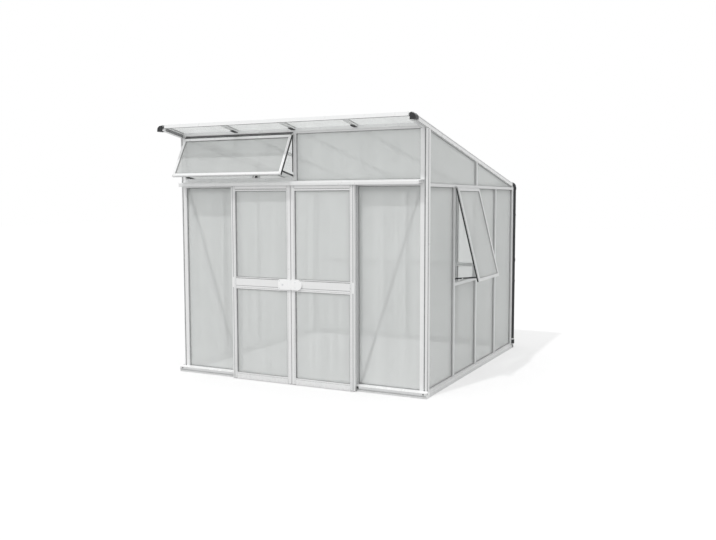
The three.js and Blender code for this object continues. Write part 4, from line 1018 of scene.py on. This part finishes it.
# Header, as (Y, Z) outlines: the stop in each end of its hood, and the darker bead on the hood's lip,
# painted shade of the hood's lower edge.
HOOD_STOP = [
    (-0.0005, 1.8185), (-0.0785, 1.8185), (-0.0915, 1.8095), (-0.0915, 1.8305), (-0.0875, 1.8385),
    (-0.079, 1.8425), (-0.0005, 1.8448),
]
HOOD_LIP_SHADE = [(-0.0951, 1.8086), (-0.0958, 1.809), (-0.0958, 1.8122), (-0.0951, 1.8126)]
HOOD_ENDS = (1.2345, 1.2365)


def header_fittings():
    mesh = bmesh.new()
    for side in (-1, 1):
        add_level(mesh, *sorted(side * x for x in HOOD_ENDS), HOOD_STOP)
    piece("hood_end_stops", white, mesh)
    # Painted shade: a silver bead darkens the lower edge of the bright hood.
    mesh = bmesh.new()
    add_level(mesh, -HOOD_ENDS[0], HOOD_ENDS[0], HOOD_LIP_SHADE)
    piece("hood_lip_shade_bead", silver, mesh)
    mesh = bmesh.new()
    for x in (-1.19, -0.92, -0.62, -0.31, -0.03):
        add_screw(mesh, (x, 0, 1.869), -Y_AXIS, DOOR_SCREW)
    for x in RAFTERS:
        add_screw(mesh, (x, 0, 2.297), -Y_AXIS, PLATE_SCREW)
    piece("header_screws", zinc, mesh)


def wall_fittings():
    """Screws through the sills and eaves at each glazing bar, and the joint lines at its ends."""
    screws = bmesh.new()
    bars = [side_bar(index) for index in (1, 2, 3)]
    for plane, places in (("right", bars), ("left", bars), ("rear", RAFTERS)):
        for along in places:
            add_screw(screws, wall_point(plane, along, 0, 0.0495), OUTWARD[plane], PLATE_SCREW)
    lines = bmesh.new()
    for plane in ("right", "left"):
        for along in bars:
            add_screw(screws, wall_point(plane, along, 0, 1.804), OUTWARD[plane], SASH_SCREW)
            for height in (SILL_TOP, EAVE_BOTTOM):
                ends = (wall_point(plane, along + half, 0, height) for half in (-0.012, 0.012))
                add_bar(lines, *ends, Z_AXIS, OUTWARD[plane], hairline(FILM))
    piece("wall_screws", zinc, screws)
    piece("wall_joint_lines", dark_rubber, lines)


# The seal beside a rafter's cap, the channel on a sheet's low edge, and each roof sheet's ends in X.
ROOF_SEAL = [(0, 0.0001), (0.005, 0.0001), (0.004, 0.0012), (0, 0.0021)]
ROOF_SHEETS = ((-1.2622, -0.6258), (-0.6142, -0.0058), (0.0058, 0.6142), (0.6258, 1.2622))
CHANNEL_LOW = SHEET_UNDER - 0.0012
CHANNEL_HIGH = SHEET_TOP + 0.0012
DRIP_CHANNEL = [
    (-0.01, CHANNEL_HIGH), (0.0012, CHANNEL_HIGH), (0.0012, CHANNEL_LOW), (-0.01, CHANNEL_LOW),
    (-0.01, CHANNEL_LOW + 0.001), (0.0002, CHANNEL_LOW + 0.001), (0.0002, CHANNEL_HIGH - 0.001),
    (-0.01, CHANNEL_HIGH - 0.001),
]
CHANNEL_RUN = ROOF_END + 0.012
ROOF_SCREW_COUNT = 7
ROOF_SCREW_MARGIN = 0.06


def roof_fittings():
    """Screws and seals along the rafters' caps and roof edges, and the sheets' drip channels."""
    screws = bmesh.new()
    seals = bmesh.new()
    channels = bmesh.new()
    pitch = (ROOF_END - ROOF_START - 2 * ROOF_SCREW_MARGIN) / (ROOF_SCREW_COUNT - 1)
    flange = ROOF_EDGE_FLANGE / 2
    rows = [(-ROOF_EDGE + flange, flange, (1,))]
    rows += [(x, RAFTER_CAP, (-1, 1)) for x in RAFTERS]
    rows += [(ROOF_EDGE - flange, flange, (-1,))]
    for middle, half, sides in rows:
        for step in range(ROOF_SCREW_COUNT):
            run = ROOF_START + ROOF_SCREW_MARGIN + step * pitch
            add_screw(screws, roof_point(middle, run, CAP_TOP), ROOF_UP, ROOF_SCREW)
        for side in sides:
            edge = middle + side * half
            runs = (ROOF_START + 0.013, ROOF_END)
            add_down_roof(seals, edge, runs, SHEET_TOP, mirrored(ROOF_SEAL, side))
    for ends in ROOF_SHEETS:
        loops = []
        for x in ends:
            loops.append([roof_point(x, CHANNEL_RUN + run, level) for run, level in DRIP_CHANNEL])
        add_loops(channels, loops, closed=False)
    piece("roof_screws", zinc, screws)
    piece("roof_bar_seals", dark_rubber, seals)
    piece("roof_drip_channels", silver, channels)


# Screws in the round corner caps: the round's centre, its radius, their Y places and their lean.
CAP_CENTRE = (1.262, 2.332)
CAP_RADIUS = 0.0396
CAP_SCREWS = (-0.258, -0.297)
CAP_LEAN = math.radians(42)


def cap_fittings():
    mesh = bmesh.new()
    for side in (-1, 1):
        normal = Vector((side * math.cos(CAP_LEAN), 0, math.sin(CAP_LEAN)))
        for y in CAP_SCREWS:
            centre = Vector((side * CAP_CENTRE[0], y, CAP_CENTRE[1]))
            add_screw(mesh, centre + normal * CAP_RADIUS, normal, PLATE_SCREW)
    piece("cap_screws", zinc, mesh)


# A strap across the gutter, as an outline back from the gutter's wall and up.
STRAP_WALL = DEPTH + 0.0003
STRAP = [(0.0026, 1.8428), (0.0038, 1.8428), (0.0985, 1.8652), (0.0985, 1.8658), (0.0026, 1.8442)]
STRAP_HALF = 0.011
STRAP_SCREW = (DEPTH + 0.088, 1.8628)


def gutter_fittings():
    straps = bmesh.new()
    screws = bmesh.new()
    section = [(STRAP_WALL + back, height) for back, height in STRAP]
    for x in (-1.15, -0.575, 0, 0.575, 1.15):
        add_level(straps, x - STRAP_HALF, x + STRAP_HALF, section)
        add_screw(screws, (x, *STRAP_SCREW), Z_AXIS, PLATE_SCREW)
    piece("gutter_straps", zinc, straps)
    piece("gutter_screws", zinc, screws)


# The downpipe's place, its collars and clips as turned profiles, and the clips' arms to the wall.
PIPE = (1.265, DEPTH + 0.072)
COLLAR = [(0.0242, 0), (0.0268, 0), (0.0272, 0.004), (0.0272, 0.03), (0.0268, 0.034), (0.0242, 0.034)]
CLIP_HEIGHT = 0.016
CLIP = rectangle(0.0242, 0.0265, 0, CLIP_HEIGHT)
CLIP_ARM = taper(0.01, 0.01, -0.0255, -0.072)
PIPE_SIDES = 32


def pipe_fittings():
    collars = bmesh.new()
    for height in (1.79, 0.98):
        add_turned(collars, (*PIPE, height), Z_AXIS, COLLAR, PIPE_SIDES)
    piece("pipe_collars", black, collars)
    clips = bmesh.new()
    for height in (1.5, 0.75):
        add_turned(clips, (*PIPE, height), Z_AXIS, CLIP, PIPE_SIDES)
        add_upright(clips, *PIPE, height, height + CLIP_HEIGHT, CLIP_ARM)
    piece("pipe_clips", black, clips)


PIN_DOME = [(0.0042, 0), (0.0042, 0.0006), (0.0032, 0.0016), (0.0012, 0.0021)]


def pin_caps():
    """Domed caps on the stays' pins, on the sashes."""
    for name, spec in (("vent", VENT), ("window", WINDOW)):
        axes = sash_axes(spec)
        mesh = bmesh.new()
        for place, side in [row[2:] for row in STAYS if row[1] is spec]:
            base = axes @ Vector((place + side * PIN_HALF, PIN_IN, -spec["pin_down"]))
            add_turned(mesh, base, axes.to_3x3() @ (X_AXIS * side), PIN_DOME)
        piece(f"{name}_pin_caps", zinc, mesh, name)


# Studio: camera at the photograph's place and angle, even light, and a floor that keeps the shadow.
CAMERA_PLACE = (3.7545, -6.278, 1.6752)
CAMERA_TURN = (math.pi / 2 - 0.0833, 0.0018, 0.46)
LENS = 40.44
SENSOR = 36
SHIFT = (-0.00095, -0.0034)
VIEW_END = 200
SUN_TRAVEL = Vector((0.141, 0.526, -0.839))
SUN_STRENGTH = 1.0
SUN_ANGLE = 0.03
SKY_STRENGTH = 0.9
SEEN_SKY_STRENGTH = 1.0
FLOOR_REACH = 40
FLOOR_DROP = -0.0005
FLOOR_TONE = (0.5, 0.5, 0.5, 1)
FLOOR_GLOW = 0.48


def make_camera():
    data = bpy.data.cameras.new("camera")
    data.lens = LENS
    data.sensor_width = SENSOR
    data.shift_x, data.shift_y = SHIFT
    data.clip_end = VIEW_END
    camera = bpy.data.objects.new("camera", data)
    camera.location = CAMERA_PLACE
    camera.rotation_euler = CAMERA_TURN
    bpy.context.scene.collection.objects.link(camera)
    bpy.context.scene.camera = camera


def make_light():
    """A soft sun, and a white world that is a little brighter where the camera sees it."""
    data = bpy.data.lights.new("key", "SUN")
    data.energy = SUN_STRENGTH
    data.angle = SUN_ANGLE
    key = bpy.data.objects.new("key", data)
    key.rotation_mode = "QUATERNION"
    key.rotation_quaternion = SUN_TRAVEL.to_track_quat("-Z", "Y")
    bpy.context.scene.collection.objects.link(key)
    world = bpy.data.worlds.new("studio")
    world.use_nodes = True
    bpy.context.scene.world = world
    tree = world.node_tree
    tree.nodes.clear()
    add = tree.nodes.new
    link = tree.links.new
    out = add("ShaderNodeOutputWorld")
    backdrop = add("ShaderNodeBackground")
    path = add("ShaderNodeLightPath")
    level = add("ShaderNodeMapRange")
    seen = add("ShaderNodeMath")
    seen.operation = "MAXIMUM"
    link(path.outputs["Is Camera Ray"], seen.inputs[0])
    link(path.outputs["Is Transmission Ray"], seen.inputs[1])
    link(seen.outputs[0], level.inputs["Value"])
    level.inputs["To Min"].default_value = SKY_STRENGTH
    level.inputs["To Max"].default_value = SEEN_SKY_STRENGTH
    backdrop.inputs["Color"].default_value = (1, 1, 1, 1)
    link(level.outputs[0], backdrop.inputs["Strength"])
    link(backdrop.outputs[0], out.inputs["Surface"])


def make_floor():
    """A matt floor that also glows where it is seen, so that it fades into the white world."""
    mesh = bmesh.new()
    ends = (-FLOOR_REACH, FLOOR_REACH)
    mesh.faces.new([mesh.verts.new((x, y, 0)) for x, y in rectangle(*ends, *ends)])
    data = bpy.data.meshes.new("floor")
    mesh.to_mesh(data)
    mesh.free()
    floor = bpy.data.objects.new("floor", data)
    floor.location.z = FLOOR_DROP
    bpy.context.scene.collection.objects.link(floor)
    s = Shader("studio_floor")
    path = s.node("LightPath").outputs
    seen = s.maths("MAXIMUM", path["Is Camera Ray"], path["Is Glossy Ray"])
    seen = s.maths("MAXIMUM", seen, path["Is Transmission Ray"])
    matt = s.node("BsdfDiffuse", {"Color": FLOOR_TONE})
    glow = s.node("Emission", {"Strength": s.maths("MULTIPLY", seen, FLOOR_GLOW)})
    both = s.node("AddShader", {0: matt.outputs[0], 1: glow.outputs[0]})
    data.materials.append(s.finish(both.outputs[0]))


make_camera()
make_light()
make_floor()
dress_nodes()
wall_seals()
door_seals()
sash_details("vent", VENT)
sash_details("window", WINDOW)
door_brushes()
jamb_brushes()
door_fittings()
lock_fittings()
post_fillings()
door_faces()
vent_rail_fittings()
roof_trims()
front_head()
stay_strips()
front_sill_fittings()
header_fittings()
wall_fittings()
roof_fittings()
cap_fittings()
gutter_fittings()
pipe_fittings()
pin_caps()

scene = bpy.context.scene
scene.view_settings.view_transform = "Standard"
bpy.context.view_layer.update()
